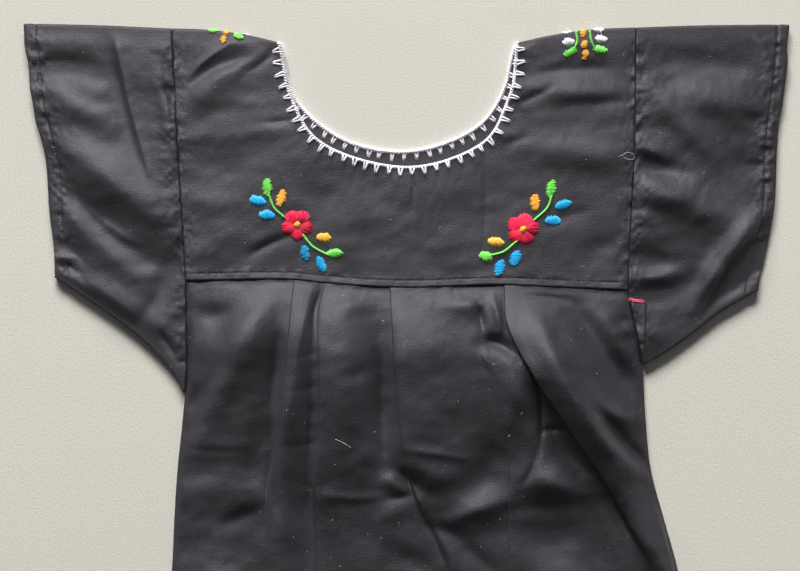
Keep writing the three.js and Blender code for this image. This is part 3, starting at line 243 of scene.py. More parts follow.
SKIRT_CREASES = (
    ("shoulder by the armhole", (-138, 87), (-126, 88), (-112, 91), 8, 1.4),
    ("dimple under the armhole", (-139, 49), (-130, 55), (-116, 76), 6, -2.4, 1.8),
    ("puckers under the armhole", (-141, 31), (-136, 38), (-128, 48), 4, -1.2, 1.6),
    ("pressed line across the left", (-142, 25), (-120, 23), (-98, 24), 2.4, -0.5, 1.3),
    ("swell above the pressed line", (-140, 28), (-123, 26), (-104, 26), 8, 1.0),
    ("left diagonal dent", (-116, -23), (-105, -19), (-92, -13), 5, -1.5, 1.8),
    ("swell above the dent", (-118, -18), (-107, -14), (-95, -7), 8, 1.2),
    ("left lower hollow", (-143, -41), (-134, -38), (-124, -45), 9, -1.2),
    ("left lower swell", (-143, -6), (-122, -1), (-100, -3), 10, 2),
    ("lowest left swell", (-140, -64), (-118, -58), (-98, -62), 9, 1.8),
    ("valley beside the outer pleat", (-80, 92), (-82, 40), (-84, -60), 5, -2.4),
    ("valley beside the middle pleat", (-16, 96), (-16, 55), (-15, 12), 6, -2.4),
    ("valley beside the roll", (84, 56), (99, 25), (122, -4), 9, -4.2),
    ("valley beside the roll, lower end", (122, -4), (132, -17), (142, -32), 8, -2.2),
    ("groove in the outer pleat", (-83, -3), (-81, -10), (-80, -18), 1.6, -1, 1.4),
    ("valley under the inner pleat", (-61, 4), (-61, -22), (-62, -70), 6, -3),
    ("shade on the outer pleat", (-61, 88), (-60, 45), (-63, 4), 5, -2.4),
    ("notch at the inner pleat's top", (-53, 122), (-57, 112), (-58, 100), 3, -1.5, 1.6),
    ("pressed line high", (-72, 80), (-63, 82), (-55, 85), 2.2, -0.4, 1.4),
    ("pressed line middle", (-72, 61), (-63, 62), (-55, 64), 2.2, -0.4, 1.4),
    ("pressed line low", (-74, 27), (-64, 27), (-55, 29), 2.2, -0.5, 1.4),
    ("swell below the yoke, centre left", (-48, 108), (-34, 114), (-18, 116), 9, 2.2),
    ("dent in the centre left panel", (-38, 68), (-30, 71), (-22, 76), 5, -1.2, 1.8),
    ("knuckle beside the middle pleat", (-29, 18), (-24, 21), (-18, 27), 6, 1.2, 1.8),
    ("knuckle on the inner pleat", (-56, 1), (-51, -7), (-45, -13), 5, 1.3, 1.6),
    ("groove beside that knuckle", (-53, -1), (-50, -8), (-45, -14), 2, -0.9, 1.4),
    ("soft line to the knuckle", (-50, -4), (-34, -6), (-16, -5), 3, 0.9, 1.7),
    ("swell below the yoke, centre right", (18, 116), (36, 115), (47, 110), 9, 3.0),
    ("flap by the roll", (52, 122), (56, 110), (58, 99), 3.4, 2.2, 1.8),
    ("shade beside the flap", (44, 114), (46, 106), (47, 98), 3, -2.8, 1.8),
    ("pit under the flap", (47, 90), (56, 90), (68, 82), 4.5, -4, 1.8),
    ("short ridge by the pit", (47, 84), (50, 79), (53, 73), 1.8, 1, 1.5),
    ("thin ridge across the centre", (0, 25), (18, 22), (37, 19), 3, 1.1, 1.4),
    ("swell under the thin ridge", (6, 12), (22, 8), (34, 12), 7, 1.8),
    ("pit beside the middle pleat", (-5, 11), (3, 4), (12, -2), 6, -4, 1.8),
    ("knuckle below the middle pleat", (-13, 8), (-7, 2), (2, -2), 5, 1.8, 1.8),
    ("line under the knuckle", (-12, -7), (-4, -6), (4, -4), 3, -1.4, 1.5),
    ("swell under that line", (-16, -19), (-8, -15), (0, -12), 6, 1.2),
    ("lower centre ridge", (28, -20), (44, -13), (61, -9), 5, 1.5, 1.8),
    ("lower centre groove, upper half", (14, -25), (25, -27), (36, -35), 6, -2.0, 1.8),
    ("lower centre groove, lower half", (35, -35), (45, -45), (58, -55), 6, -2.0, 1.8),
    ("lower left of centre hollow", (-8, -40), (4, -47), (16, -56), 7, -2),
    ("long thin line", (11, -10), (17, -30), (27, -55), 2.2, -1.2, 1.5),
    ("slot under the knob", (65, -13), (86, -12), (111, -9), 6, -1.4),
    ("low ground under the slot", (70, -28), (88, -30), (108, -34), 16, -3.6),
    ("shade right of the knob", (110, -4), (116, -26), (124, -60), 7, -3),
    ("curved line under the roll, upper", (81, 66), (84, 40), (80, 18), 2, -1.8, 1.5),
    ("curved line under the roll, lower", (80, 18), (77, 10), (72, 3), 2, -1.5, 1.5),
    ("short line under the roll", (84, 35), (90, 36), (98, 36), 1.8, -1.2, 1.4),
    ("sharp crest of the roll", (84, 101), (112, 45), (150, 8), 4, 1.9, 1.5),
    ("second valley at the right", (118, 48), (136, 26), (152, 12), 5, -3.8),
    ("sharp second ridge", (115, 62), (130, 47), (148, 45), 3, 1, 1.5),
    ("groove below the yoke, right", (76, 120), (88, 119), (101, 117), 3, -2.2, 1.7),
    ("pucker by the side seam, high", (130, 103), (136, 104), (142, 104), 3, -1.1, 1.7),
    ("pucker by the side seam, middle", (132, 97), (138, 98), (144, 97), 2.4, 1.1, 1.7),
    ("pucker by the side seam, low", (133, 91), (140, 92), (145, 91), 3, -1.0, 1.7),
    ("roll's lower flank", (152, -11), (161, -36), (171, -74), 9, 2.2),
    ("lower panel dent", (-30, -120), (10, -135), (48, -128), 9, -1.8),
    ("lower left dent", (-140, -110), (-118, -128), (-92, -122), 8, -1.8),
    ("lower right dent", (96, -150), (128, -166), (166, -158), 8, -1.8),
)

# ---------------- the embroidery

# Satin-stitched shapes: name, centre in x and y, direction of the long axis in degrees, length, width
# and thread.
LEAVES = {
    "left": (
        ("green_high", -86.9, 187.0, 97, 10.8, 6.1, "green"),
        ("yellow_high", -78.1, 180.3, 80, 10.4, 5.6, "yellow"),
        ("blue_high", -92.6, 178.5, -8, 10.4, 6.6, "blue"),
        ("blue_middle", -86.9, 169.4, 2, 9.6, 6.9, "blue"),
        ("green_low", -44.8, 145.7, 9, 9.8, 5.9, "green"),
        ("yellow_low", -51.6, 155.6, 5, 8.8, 6.5, "yellow"),
        ("blue_low", -63.4, 146.1, -76, 9.2, 5.8, "blue"),
        ("blue_lowest", -53.4, 139.1, -62, 10.2, 5.6, "blue"),
    ),
    "right": (
        ("green_high", 90.3, 186.2, 82, 10.8, 6.1, "green"),
        ("yellow_high", 80.2, 177.6, 100, 9.8, 6.4, "yellow"),
        ("blue_high", 98.0, 176.1, 22, 10.2, 6.6, "blue"),
        ("blue_middle", 91.4, 166.1, 6, 9.6, 6.4, "blue"),
        ("green_low", 49.6, 143.7, 178, 8.4, 6.6, "green"),
        ("yellow_low", 55.9, 152.8, 176, 10.0, 5.8, "yellow"),
        ("blue_low", 67.9, 142.8, 80, 9.4, 6.8, "blue"),
        ("blue_lowest", 58.3, 137.0, 75, 10.0, 6.4, "blue"),
    ),
    "shoulder": (
        ("left_yellow", -114.2, 279.2, 96, 5.0, 4.4, "yellow"),
        ("left_green", -104.7, 281.0, -12, 6.4, 4.6, "green"),
        ("yellow_dot", 110.9, 276.1, 90, 4.9, 4.1, "yellow"),
        ("yellow_tip", 111.5, 269.6, 92, 6.2, 4.4, "yellow"),
        ("green_in", 102.5, 271.4, 34, 9.2, 5.2, "green"),
        ("green_out", 120.8, 272.6, -6, 9.2, 5.2, "green"),
        ("white_in", 101.1, 277.5, 16, 7.2, 5.2, "white"),
        ("white_out", 121.4, 279.4, -6, 7.8, 5.0, "white"),
    ),
}
# Small shapes that go over the shoulder fold and have no solid of their own.
OVER_THE_FOLD = (
    ("yellow over the fold", 110.3, 283.4, 88, 5.0, 3.8, "yellow"),
    ("white over the fold, in", 100.2, 284.8, 20, 6.0, 4.2, "white"),
    ("white over the fold, out", 119.8, 285.6, -4, 6.4, 4.2, "white"),
    ("left green over the fold", -120.6, 285.4, 6, 6.2, 4.2, "green"),
    ("left yellow over the fold", -112.4, 284.6, 80, 4.6, 3.8, "yellow"),
    ("left white over the fold", -100.4, 284.2, -10, 4.0, 3.0, "white"),
)
FLOWERS = {
    "left": {"x": -68.1, "y": 163.6, "first_petal": -90, "radius": 10.0, "petal_width": 8.0},
    "right": {"x": 72.5, "y": 160.9, "first_petal": -66, "radius": 10.2, "petal_width": 8.2},
}
PETALS = 5
PETAL_SPREAD = 28.0  # degrees from a petal's middle strand to its outermost
PETAL_CLOSENESS = 1.25  # how much closer a petal's strands lie than a leaf's
PETAL_ROUNDING = 0.27  # how much shorter its outermost strands are, as a share
FLOWER_CENTRE = 4.6
STRAND_PITCH = 0.52  # strands are drawn thicker than the real 0.4 mm, so that they still show
# Stems in stem stitch: three plan points each.
STEMS = (
    ((-85.6, 182.0), (-82.6, 174.4), (-76.2, 168.4)),
    ((-64.9, 158.0), (-58.8, 150.4), (-48.6, 144.8)),
    ((90.6, 182.0), (88.2, 174.8), (79.4, 166.4)),
    ((68.8, 153.6), (60.6, 147.0), (52.4, 144.6)),
    ((105.6, 284.6), (106.4, 278.2), (105.0, 273.6)),
    ((114.3, 284.8), (115.1, 278.3), (117.0, 273.6)),
)

# ---------------- the sewing

HEM_STITCH = 7.0  # from the cuff's edge to its row of stitches
BAND_STITCH = 4.3  # from the yoke seam to the row of stitches above it
STITCH_RADIUS = 0.21
STITCH_SINK = 0.06  # how far a thread lies pressed into the cloth
LOOSE_RADIUS = 0.14
LINT_RADIUS = 0.09
TACK_RADIUS = 0.3
TACK_ENDS = ((138.6, 117.0), (148.4, 115.8))
TACK_THREADS = ((0, 0.6), (0.5, 0), (-0.3, -0.6))  # how far each of its threads lies off that line
LOOSE_THREADS = (
    ((4, 199.5), (5.5, 195), (4.6, 190.5), (7, 187.6)),
    ((6, 199), (8.4, 195.6), (10.8, 194.8), (13, 192.4)),
    ((3, 198), (2.2, 193), (3.4, 189.4), (2.6, 186)),
)
# A fine hair on the skirt and a loop of thread by the armhole.
HAIRS = (
    ((-44, 31.2), (-39.4, 29.2), (-34, 25.6)),
    ((133.2, 206.2), (137.5, 208.8), (141.8, 207.2), (141.6, 204.8), (137.6, 204.6), (134.6, 206.0)),
)
LINT_TRIES = 420  # specks tried over the whole area, of which those that meet the dress stay
LINT_AREA = ((-236, 236), (-280, 282))
LINT_LENGTHS = (0.35, 0.5, 0.8, 1.6)
LINT_SHARES = (0.4, 0.3, 0.2, 0.1)

# ---------------- colours, light and camera

HEX = {
    "cloth": "#19181c",
    "cloth_faded": "#2b2a2f",
    "gloss": "#f6f3ff",
    "sheen": "#cfccd6",
    "surface": "#dad7d1",
    # painted shade in the hollows between the surface's small bumps
    "surface_painted_shade": "#cdcbc4",
    "daylight": "#fffdf8",
    "sidelight": "#fbfbff",
    "room": "#f3f1ec",
    "wall": "#cfccc5",
}
# Threads: the material's name, its colour, a deeper colour of painted shade meant for between its strands,
# which the noise lays in random patches, and its roughness.
THREADS = {
    # The black sewing thread's mid grey colour is painted highlight; its deeper colour is the thread's own
    # black.
    "sewing": ("black sewing thread", "#55545c", "#0a0a0c", 0.6),
    "crochet": ("white crochet cotton", "#eeecf3", "#d3d0de", 0.55),
    "pink": ("pink sewing thread", "#e05a78", "#b83c5c", 0.5),
    "lint": ("pale lint", "#e2e0e6", "#8f8d94", 0.9),
    "red": ("red embroidery floss", "#f00c4c", "#d80c3e", 0.42),
    "green": ("green embroidery floss", "#84e468", "#5cc83e", 0.42),
    "blue": ("blue embroidery floss", "#0cb4ee", "#0a9ade", 0.42),
    "yellow": ("yellow embroidery floss", "#f6c04a", "#ee9f2a", 0.42),
    "white": ("white embroidery floss", "#eeecf3", "#dcdae6", 0.42),
}
# Soft lamps: place and size in metres, which power they take, and colour.
LAMPS = {
    "window": ((-0.8, 6.2, 1.8), (4.2, 1.3), "window_power", "daylight"),
    "ceiling": ((-0.6, 2.6, 2.8), (1.5, 0.8), "ceiling_power", "daylight"),
    "left side": ((-4.4, -0.8, 2.4), (3.2, 1.8), "side_power", "sidelight"),
    "right side": ((4.4, -0.8, 2.4), (3.2, 1.8), "side_power", "sidelight"),
}
LAMP_AIM = (0, 0.1, 0)
WALL_STRENGTH = 0.6  # the plain backdrop beyond the surface
FLOOR_SIZE = 24.0  # metres
CAMERA_CENTRE = (-4.06, 125.9)
CAMERA_HEIGHT = 690.0
VIEW_WIDTH = 500.0  # what the camera takes in at the height of the cloth
SENSOR = 36.0


def linear(hex_colour):
    """A linear RGB triple from an sRGB hex value."""
    parts = [int(hex_colour[i : i + 2], 16) / 255 for i in (1, 3, 5)]
    return tuple(c / 12.92 if c <= 0.04045 else ((c + 0.055) / 1.055) ** 2.4 for c in parts)


# ---------------- curves and tables


def smooth(t):
    """Eases from 0 to 1."""
    t = np.clip(t, 0.0, 1.0)
    return t * t * (3 - 2 * t)


def near(distance, reach):
    """1 on a line and falling to 0 away from it."""
    return np.exp(-((distance / reach) ** 2))


def lengths(path):
    """How far along a path each of its points lies."""
    return np.concatenate([[0], np.cumsum(np.linalg.norm(np.diff(path, axis=0), axis=1))])


class PlanCurve:
    """A centripetal spline through plan points, read by share of its points or of its length."""

    def __init__(self, points, per_span=48):
        p = np.array(points, float)
        ends = np.vstack([2 * p[0] - p[1], p, 2 * p[-1] - p[-2]])
        t = np.arange(per_span) / per_span
        spans = []
        for a, b, c, d in zip(ends, ends[1:], ends[2:], ends[3:]):
            k0, k1, k2 = (math.dist(*pair) ** 0.5 for pair in ((a, b), (b, c), (c, d)))
            m1 = ((b - a) / k0 - (c - a) / (k0 + k1) + (c - b) / k1) * k1
            m2 = ((c - b) / k1 - (d - b) / (k1 + k2) + (d - c) / k2) * k1
            cubic = (2 * b - 2 * c + m1 + m2, -3 * b + 3 * c - 2 * m1 - m2, m1, b)
            spans.append(sum(np.outer(t ** (3 - n), part) for n, part in enumerate(cubic)))
        self.points = np.vstack(spans + [p[-1:]])
        self.share = np.linspace(0, 1, len(self.points))
        self.length = lengths(self.points)

    def _read(self, keys, at):
        return np.stack([np.interp(at, keys, self.points[:, n]) for n in (0, 1)], axis=-1)

    def at(self, share):
        return self._read(self.share, share)

    def at_length(self, share):
        return self._read(self.length / self.length[-1], share)

    def tangent(self, share):
        d = self.at(np.minimum(share + 1e-3, 1)) - self.at(np.maximum(share - 1e-3, 0))
        return d / np.linalg.norm(d, axis=-1, keepdims=True)

    def x_at(self, y):
        order = np.argsort(self.points[:, 1])
        return np.interp(y, self.points[order, 1], self.points[order, 0])

    def y_at(self, x):
        order = np.argsort(self.points[:, 0])
        return np.interp(x, self.points[order, 0], self.points[order, 1])


def column(table, columns, name, y):
    """Reads a column of a table whose rows fall in y, eased between rows."""
    rows = np.array(table, float)
    ys, values = rows[:, columns.index("y")], rows[:, columns.index(name)]
    y = np.clip(np.asarray(y, float), ys[-1], ys[0])
    to = np.clip(np.searchsorted(-ys, -y, side="left"), 1, len(ys) - 1)
    start = to - 1
    before, after = np.maximum(to - 2, 0), np.minimum(to + 1, len(ys) - 1)
    span = ys[start] - ys[to]
    t = (ys[start] - y) / span
    slope_start = (values[to] - values[before]) / (ys[before] - ys[to]) * span
    slope_to = (values[after] - values[start]) / (ys[start] - ys[after]) * span
    eased = values[start] + (values[to] - values[start]) * smooth(t)
    return eased + slope_start * t * (1 - t) ** 2 - slope_to * t * t * (1 - t)


YOKE_EDGE = PlanCurve(YOKE_SEAM)
ARMHOLES = {side: PlanCurve(SLEEVES[side]["armhole"]) for side in SLEEVES}
CUFFS = {side: PlanCurve(SLEEVES[side]["cuff"]) for side in SLEEVES}
TOP_FOLDS = {side: PlanCurve(SLEEVES[side]["fold"]) for side in SLEEVES}
UNDERARMS = {side: PlanCurve(SLEEVES[side]["underarm"]) for side in SLEEVES}


def seam_x(side, y):
    """The x of a side's seam: the armhole, and below the yoke the skirt's side."""
    y = np.asarray(y, float)
    armhole = ARMHOLES[side]
    below = column(SKIRT_SIDES, SIDE_COLUMNS, side, y)
    return np.where(y >= armhole.points[-1, 1], armhole.x_at(y), below)


CREST_STEPS = 24
CREASE_REACH = 3.2  # in half widths, beyond which a crease adds nothing
CREASE_ENDS = 0.35  # the share of its height that a crease has at its ends


def crease_heights(creases, x, y):
    """The height that a table of folds or creases adds at each point."""
    total = np.zeros_like(x)
    for _, start, over, end, width, height, *sharp in creases:
        start, over, end = (np.array(p, float) for p in (start, over, end))
        bend = 2 * over - (start + end) / 2
        reach = width * CREASE_REACH
        low = np.minimum.reduce([start, over, end]) - reach
        high = np.maximum.reduce([start, over, end]) + reach
        inside = (x > low[0]) & (x < high[0]) & (y > low[1]) & (y < high[1])
        if not inside.any():
            continue
        t = np.linspace(0, 1, CREST_STEPS + 1)[:, None]
        crest = start * (1 - t) ** 2 + 2 * bend * t * (1 - t) + end * t**2
        here = np.stack([x[inside], y[inside]], axis=-1)
        nearest = np.full(len(here), np.inf)
        share = np.zeros(len(here))
        for n, (a, b) in enumerate(zip(crest, crest[1:])):
            along = b - a
            s = np.clip((here - a) @ along / (along @ along), 0, 1)
            distance = np.hypot(*(here - a - s[:, None] * along).T)
            closer = distance < nearest
            nearest[closer] = distance[closer]
            share[closer] = (n + s[closer]) / CREST_STEPS
        taper = CREASE_ENDS + (1 - CREASE_ENDS) * np.sin(np.pi * share)
        total[inside] += height * taper * np.exp(-((nearest / width) ** (sharp[0] if sharp else ROUND)))
    return total


LATTICE = 97
LATTICE_START = 400  # the cell at the part's origin
# The uneven lie of thin washed cotton: height, size, stretch and turn of ever smaller crumples.
CRUMPLES = ((0.6, 26, 1.6, 0.5), (0.42, 13, 1.5, -0.7), (0.2, 6.5, 1.8, 0.2), (0.09, 3.2, 1.6, 1.3))
# Gathers that a row of machine stitches draws into the cloth beside it: their height, how far from the
# row they reach, how far apart they are, and their seed.
GATHERS = {
    "yoke band": (0.32, 4.0, 3.2, 31),
    "neck": (0.5, 9.0, 7.0, 71),
    "left armhole": (0.7, 5.0, 4.6, 41),
    "right armhole": (0.7, 5.0, 4.6, 51),
    "left sleeve": (0.85, 8.0, 6.0, 111),
    "right sleeve": (0.85, 8.0, 6.0, 161),
    "left cuff": (1.0, 7.0, 6.5, 121),
    "right cuff": (1.0, 7.0, 6.5, 171),
    "yoke seam": (0.45, 6.0, 5.0, 221),
    "side seam": (0.4, 4.0, 6.0, 231),
}
YOKE_SEED, SKIRT_SEED, CUFF_SEED = 11, 201, 61
SLEEVE_SEEDS = {"left": 101, "right": 151}


def crumple(x, y, size, seed, stretch=1.0, turn=0.0):
    """Smooth random heights between -1 and 1, in features of that size across and drawn out along."""
    lattice = np.random.default_rng(seed).uniform(-1, 1, (LATTICE, LATTICE))
    c, s = math.cos(turn), math.sin(turn)
    u = (x * c + y * s) / (size * stretch) + LATTICE_START
    v = (y * c - x * s) / size + LATTICE_START
    i, j = np.floor(u).astype(int), np.floor(v).astype(int)
    over, up = smooth(u - i), smooth(v - j)
    low, high = (
        lattice[i % LATTICE, row] * (1 - over) + lattice[(i + 1) % LATTICE, row] * over
        for row in (j % LATTICE, (j + 1) % LATTICE)
    )
    return low * (1 - up) + high * up


def cloth_relief(x, y, seed):
    """Broad swells, then ever smaller crumples."""
    return sum(
        height * crumple(x, y, size, seed + n, stretch, turn)
        for n, (height, size, stretch, turn) in enumerate(CRUMPLES)
    )


def gathers(row, distance, along):
    """Short gathers beside a row of stitches."""
    height, reach, pitch, seed = GATHERS[row]
    waves = crumple(along, distance * 0.6, pitch, seed)
    waves += 0.5 * crumple(along, distance, pitch * 0.45, seed + 1)
    return height * waves * np.exp(-distance / reach)


# ---------------- surfaces of the pieces

NECK_MIDDLE_Y, NECK_RADIUS = 281, 77  # the round the gathers beside the neck edging follow
CLOTH = 0.42  # thickness of the thin cloth itself
FOLD_START_Y, FOLD_REACH = 283.0, 9.0  # the yoke rises to its shoulder fold above here
CREASE_TOP_Y = 284.0  # creases die out towards the shoulder fold
BIG_FOLD_TOP_Y, BIG_FOLD_EASE = 276.0, 18.0
YOKE_SEAM_REACH = 10.0
SEAM_GROOVE, SEAM_GROOVE_REACH = 0.8, 0.35
TURNED_EDGE = 0.4  # the yoke's turned edge is thicker by this, below its stitches
ROUNDING, ROUNDING_REACH = 0.7, 0.4  # how it rounds over at the seam
STITCH_GROOVE, STITCH_GROOVE_REACH = 0.22, 0.5
YOKE_LOFT, SLEEVE_LOFT, SKIRT_LOFT = 0.5, 0.4, 1.0  # how far free cloth stands off its rest
EDGE_STEEP, SEAM_STEEP, CREASE_STEEP = 7, 9, 14  # how soon a sleeve's shape rises from its edges
CUFF_GROOVE, CUFF_ROUNDING = 0.5, 0.8
CUFF_WAVE, CUFF_WAVE_LENGTH = 0.8, 12  # the cuff's edge isn't quite straight
# The seam's turnings lie as a flat strip beside the side seam, under the right armhole.
STRIP_WIDTH, STRIP_TOP_Y, STRIP_END_Y, STRIP_RISE = 9.5, 118.0, 76.0, 0.9
STRIP_NARROWING = 38.0  # the length over which it runs out to nothing


def above_floor(z, lowest, softness=0.35):
    """Keeps a layer above the one under it, without a hard edge."""
    return lowest + softness * np.logaddexp(0, (z - lowest) / softness)


def yoke_level(x, y):
    """The middle of the yoke's upper layer."""
    over_seam = y - YOKE_EDGE.y_at(x)
    fold = near(np.maximum(0, FOLD_START_Y - y), FOLD_REACH) * (FOLD_LEVEL - YOKE_REST)
    seam = near(over_seam, YOKE_SEAM_REACH) * (SEAM_LEVEL - YOKE_REST)
    big = np.clip((BIG_FOLD_TOP_Y - y) / BIG_FOLD_EASE, 0, 1)
    z = YOKE_REST + fold + seam + big * crease_heights(YOKE_FOLDS, x, y)
    free = smooth((CREASE_TOP_Y - y) / FOLD_REACH)
    z += free * (YOKE_LOFT + crease_heights(YOKE_CREASES, x, y) + cloth_relief(x, y, YOKE_SEED))
    # the turned edge of the yoke is thicker below its stitches, and rounds over at the seam
    z += TURNED_EDGE * smooth((BAND_STITCH - over_seam) / BAND_STITCH)
    z -= ROUNDING * near(np.maximum(over_seam, 0), ROUNDING_REACH)
    z -= STITCH_GROOVE * near(over_seam - BAND_STITCH, STITCH_GROOVE_REACH)
    z += gathers("yoke band", np.abs(over_seam - BAND_STITCH), x)
    from_neck = np.maximum(0, np.hypot(x, y - NECK_MIDDLE_Y) - NECK_RADIUS)
    z += free * gathers("neck", from_neck, NECK_RADIUS * np.arctan2(x, NECK_MIDDLE_Y - y))
    for side in SLEEVES:
        from_seam = np.abs(x - seam_x(side, y))
        z += free * gathers(side + " armhole", from_seam, y)
        z -= SEAM_GROOVE * near(from_seam, SEAM_GROOVE_REACH)
    return above_floor(z, YOKE_FLOOR)


def sleeve_level(side, x, y, across, down):
    """The middle of a sleeve's upper layer."""
    to_edge, to_seam = np.minimum(down, 1 - down), np.minimum(across, 1 - across)
    edges = smooth(to_edge * EDGE_STEEP)
    puff = SLEEVE_PUFF * np.sin(np.pi * across) ** 0.5 * np.sin(np.pi * down)
    folds = (0.3 + 0.7 * smooth(to_seam * SEAM_STEEP)) * crease_heights(SLEEVE_FOLDS[side], x, y)
    z = FOLD_LEVEL + (YOKE_REST - FOLD_LEVEL) * edges + edges * (puff + folds)
    free = smooth(to_edge * CREASE_STEEP)
    relief = cloth_relief(x, y, SLEEVE_SEEDS[side])
    z += free * (SLEEVE_LOFT + crease_heights(SLEEVE_CREASES[side], x, y) + relief)
    from_seam = np.abs(x - seam_x(side, y))
    z += free * gathers(side + " sleeve", from_seam, y)
    z -= SEAM_GROOVE * near(from_seam, SEAM_GROOVE_REACH)
    from_cuff = np.abs(x - CUFFS[side].x_at(y))
    z -= CUFF_GROOVE * (near(from_cuff - HEM_STITCH, 1.0) + near(from_cuff, CUFF_ROUNDING))
    z += free * gathers(side + " cuff", np.abs(from_cuff - HEM_STITCH), y)
    if side == "right":
        narrowing = np.clip((y - STRIP_END_Y) / STRIP_NARROWING, 0, 1)
        strip = STRIP_WIDTH * smooth((STRIP_TOP_Y - y) / 3) * narrowing + 0.1
        z += STRIP_RISE * smooth((strip - from_seam) / 0.9) * (strip > 0.5)
    return above_floor(z, YOKE_FLOOR)


NECK_TURN = 3  # the neck edge turns up to the shoulder fold over the last third of each side


def yoke_half(neck_points, level, side_steps, seam_steps, rings):
    """Half of the yoke as rings of points from the neck outwards."""
    steps = 2 * side_steps + seam_steps
    inner = PlanCurve(neck_points).at_length(np.arange(steps + 1) / steps)
    from_fold = np.minimum(np.arange(steps + 1), steps - np.arange(steps + 1)) / side_steps
    towards_fold = np.clip(1 - from_fold * NECK_TURN, 0, 1)
    inner[:, 1] += (NECK_POINT_Y - FOLD_INSET - inner[:, 1]) * towards_fold

    def on_seam(side, share):
        top, bottom = ARMHOLES[side].points[0, 1] - FOLD_INSET, ARMHOLES[side].points[-1, 1] + SEAM_GAP / 2
        y = top + (bottom - top) * share
        inward = 1 if side == "left" else -1
        return np.stack([seam_x(side, y) + inward * SEAM_GAP / 2, y], axis=-1)

    share = np.linspace(0, 1, side_steps + 1)
    seam = YOKE_EDGE.at_length(np.linspace(0, 1, seam_steps + 1)[1:-1]) + (0, SEAM_GAP / 2)
    outer = np.vstack([on_seam("right", share), seam, on_seam("left", share[::-1])])
    out = rings[:, None, None]
    plan = inner + (outer - inner) * out
    plan[..., 1] += SHOULDER_BULGE * np.sin(np.pi * out[..., 0]) * np.clip(1 - from_fold, 0, 1)
    return np.dstack([plan, level(plan[..., 0], plan[..., 1])])


def turned_over(upper, outwards, steps):
    """The cloth's half circle from an upper edge to the layer on the ground below it."""
    radius = (upper[:, 2] - BACK_LEVEL)[:, None] / 2
    angle = np.pi / 2 - np.pi * np.arange(1, steps) / steps
    plan = upper[:, None, :2] + outwards[:, None, :] * (radius * np.cos(angle))[..., None]
    return np.dstack([plan, BACK_LEVEL + radius * (1 + np.sin(angle))])


def folded_piece(upper, lower, out_start, out_end, steps=6):
    """Closed loops of points: over the upper layer, round one fold, back below and round the other."""
    over_end = turned_over(upper[:, -1], out_end, steps)
    over_start = turned_over(upper[:, 0], out_start, steps)[:, ::-1]
    return np.concatenate([upper, over_end, lower[:, ::-1], over_start], axis=1)


def spaced(*stretches):
    """Shares from 0 to 1 in stretches that each end at a given share after a number of steps."""
    shares, begin = [np.zeros(1)], 0.0
    for end, steps in stretches:
        shares.append(np.linspace(begin, end, steps + 1)[1:])
        begin = end
    return np.concatenate(shares)


def flat_level(x, y, *_):
    """The middle of a layer that lies on the ground."""
    return np.full_like(x, BACK_LEVEL)


YOKE_RINGS = ((0.04, 4), (0.9, 56), (1.0, 22))  # closer beside the neck and the seams
SLEEVE_RINGS = ((0.13, 22), (0.88, 62), (1.0, 20))  # closer beside the cuff and the armhole


def yoke_points():
    """The yoke's upper layer, and the whole of it as loops from the neck outwards."""
    rings = spaced(*YOKE_RINGS)
    front = yoke_half(FRONT_NECK, yoke_level, side_steps=140, seam_steps=176, rings=rings)
    back = yoke_half(BACK_NECK, flat_level, side_steps=14, seam_steps=22, rings=rings)
    back[:, [0, -1], :2] = front[:, [0, -1], :2]
    up = np.tile([0.0, 1.0], (len(rings), 1))
    return front, folded_piece(front, back, up, up)


def sleeve_points(side, steps=240, lower_steps=24):
    """A sleeve as loops of points from the cuff to the armhole."""
    outwards = -1 if side == "left" else 1
    fold, underarm = TOP_FOLDS[side], UNDERARMS[side]
    across = spaced(*SLEEVE_RINGS)
    along = underarm.tangent(across)
    out = np.stack([along[:, 1], -along[:, 0]], axis=-1)
    out[out[:, 1] > 0] *= -1
    top = fold.at(across) - (0, FOLD_INSET)
    bottom = underarm.at(across) - out * FOLD_INSET

    def edge(curve_x, ring, down):
        y = top[ring, 1] + (bottom[ring, 1] - top[ring, 1]) * down
        return np.stack([curve_x(y), y], axis=-1)

    def layer(count, level):
        down = np.linspace(0, 1, count + 1)
        u, v = across[:, None, None], down[None, :, None]
        cuff = edge(CUFFS[side].x_at, 0, down)
        armhole = edge(lambda y: seam_x(side, y) + outwards * SEAM_GAP / 2, -1, down)
        high = top + (cuff[0] - top[0]) * (1 - u[:, 0]) + (armhole[0] - top[-1]) * u[:, 0]
        low = bottom + (cuff[-1] - bottom[0]) * (1 - u[:, 0]) + (armhole[-1] - bottom[-1]) * u[:, 0]
        plan = high[:, None] * (1 - v) + low[:, None] * v
        plan = plan + (cuff - (cuff[0] * (1 - v[0]) + cuff[-1] * v[0])) * (1 - u)
        plan = plan + (armhole - (armhole[0] * (1 - v[0]) + armhole[-1] * v[0])) * u
        wave = CUFF_WAVE * crumple(plan[..., 1], 0 * plan[..., 1], CUFF_WAVE_LENGTH, CUFF_SEED)
        plan[..., 0] += wave * (1 - u[..., 0]) ** 9
        x, y = plan[..., 0], plan[..., 1]
        return np.dstack([plan, level(x, y, u[..., 0] + 0 * x, v[..., 0] + 0 * x)])

    upper = layer(steps, lambda x, y, u, v: sleeve_level(side, x, y, u, v))
    lower = layer(lower_steps, flat_level)
    up = np.tile([0.0, 1.0], (len(across), 1))
    return folded_piece(upper, lower, up, out)


# ---------------- the skirt

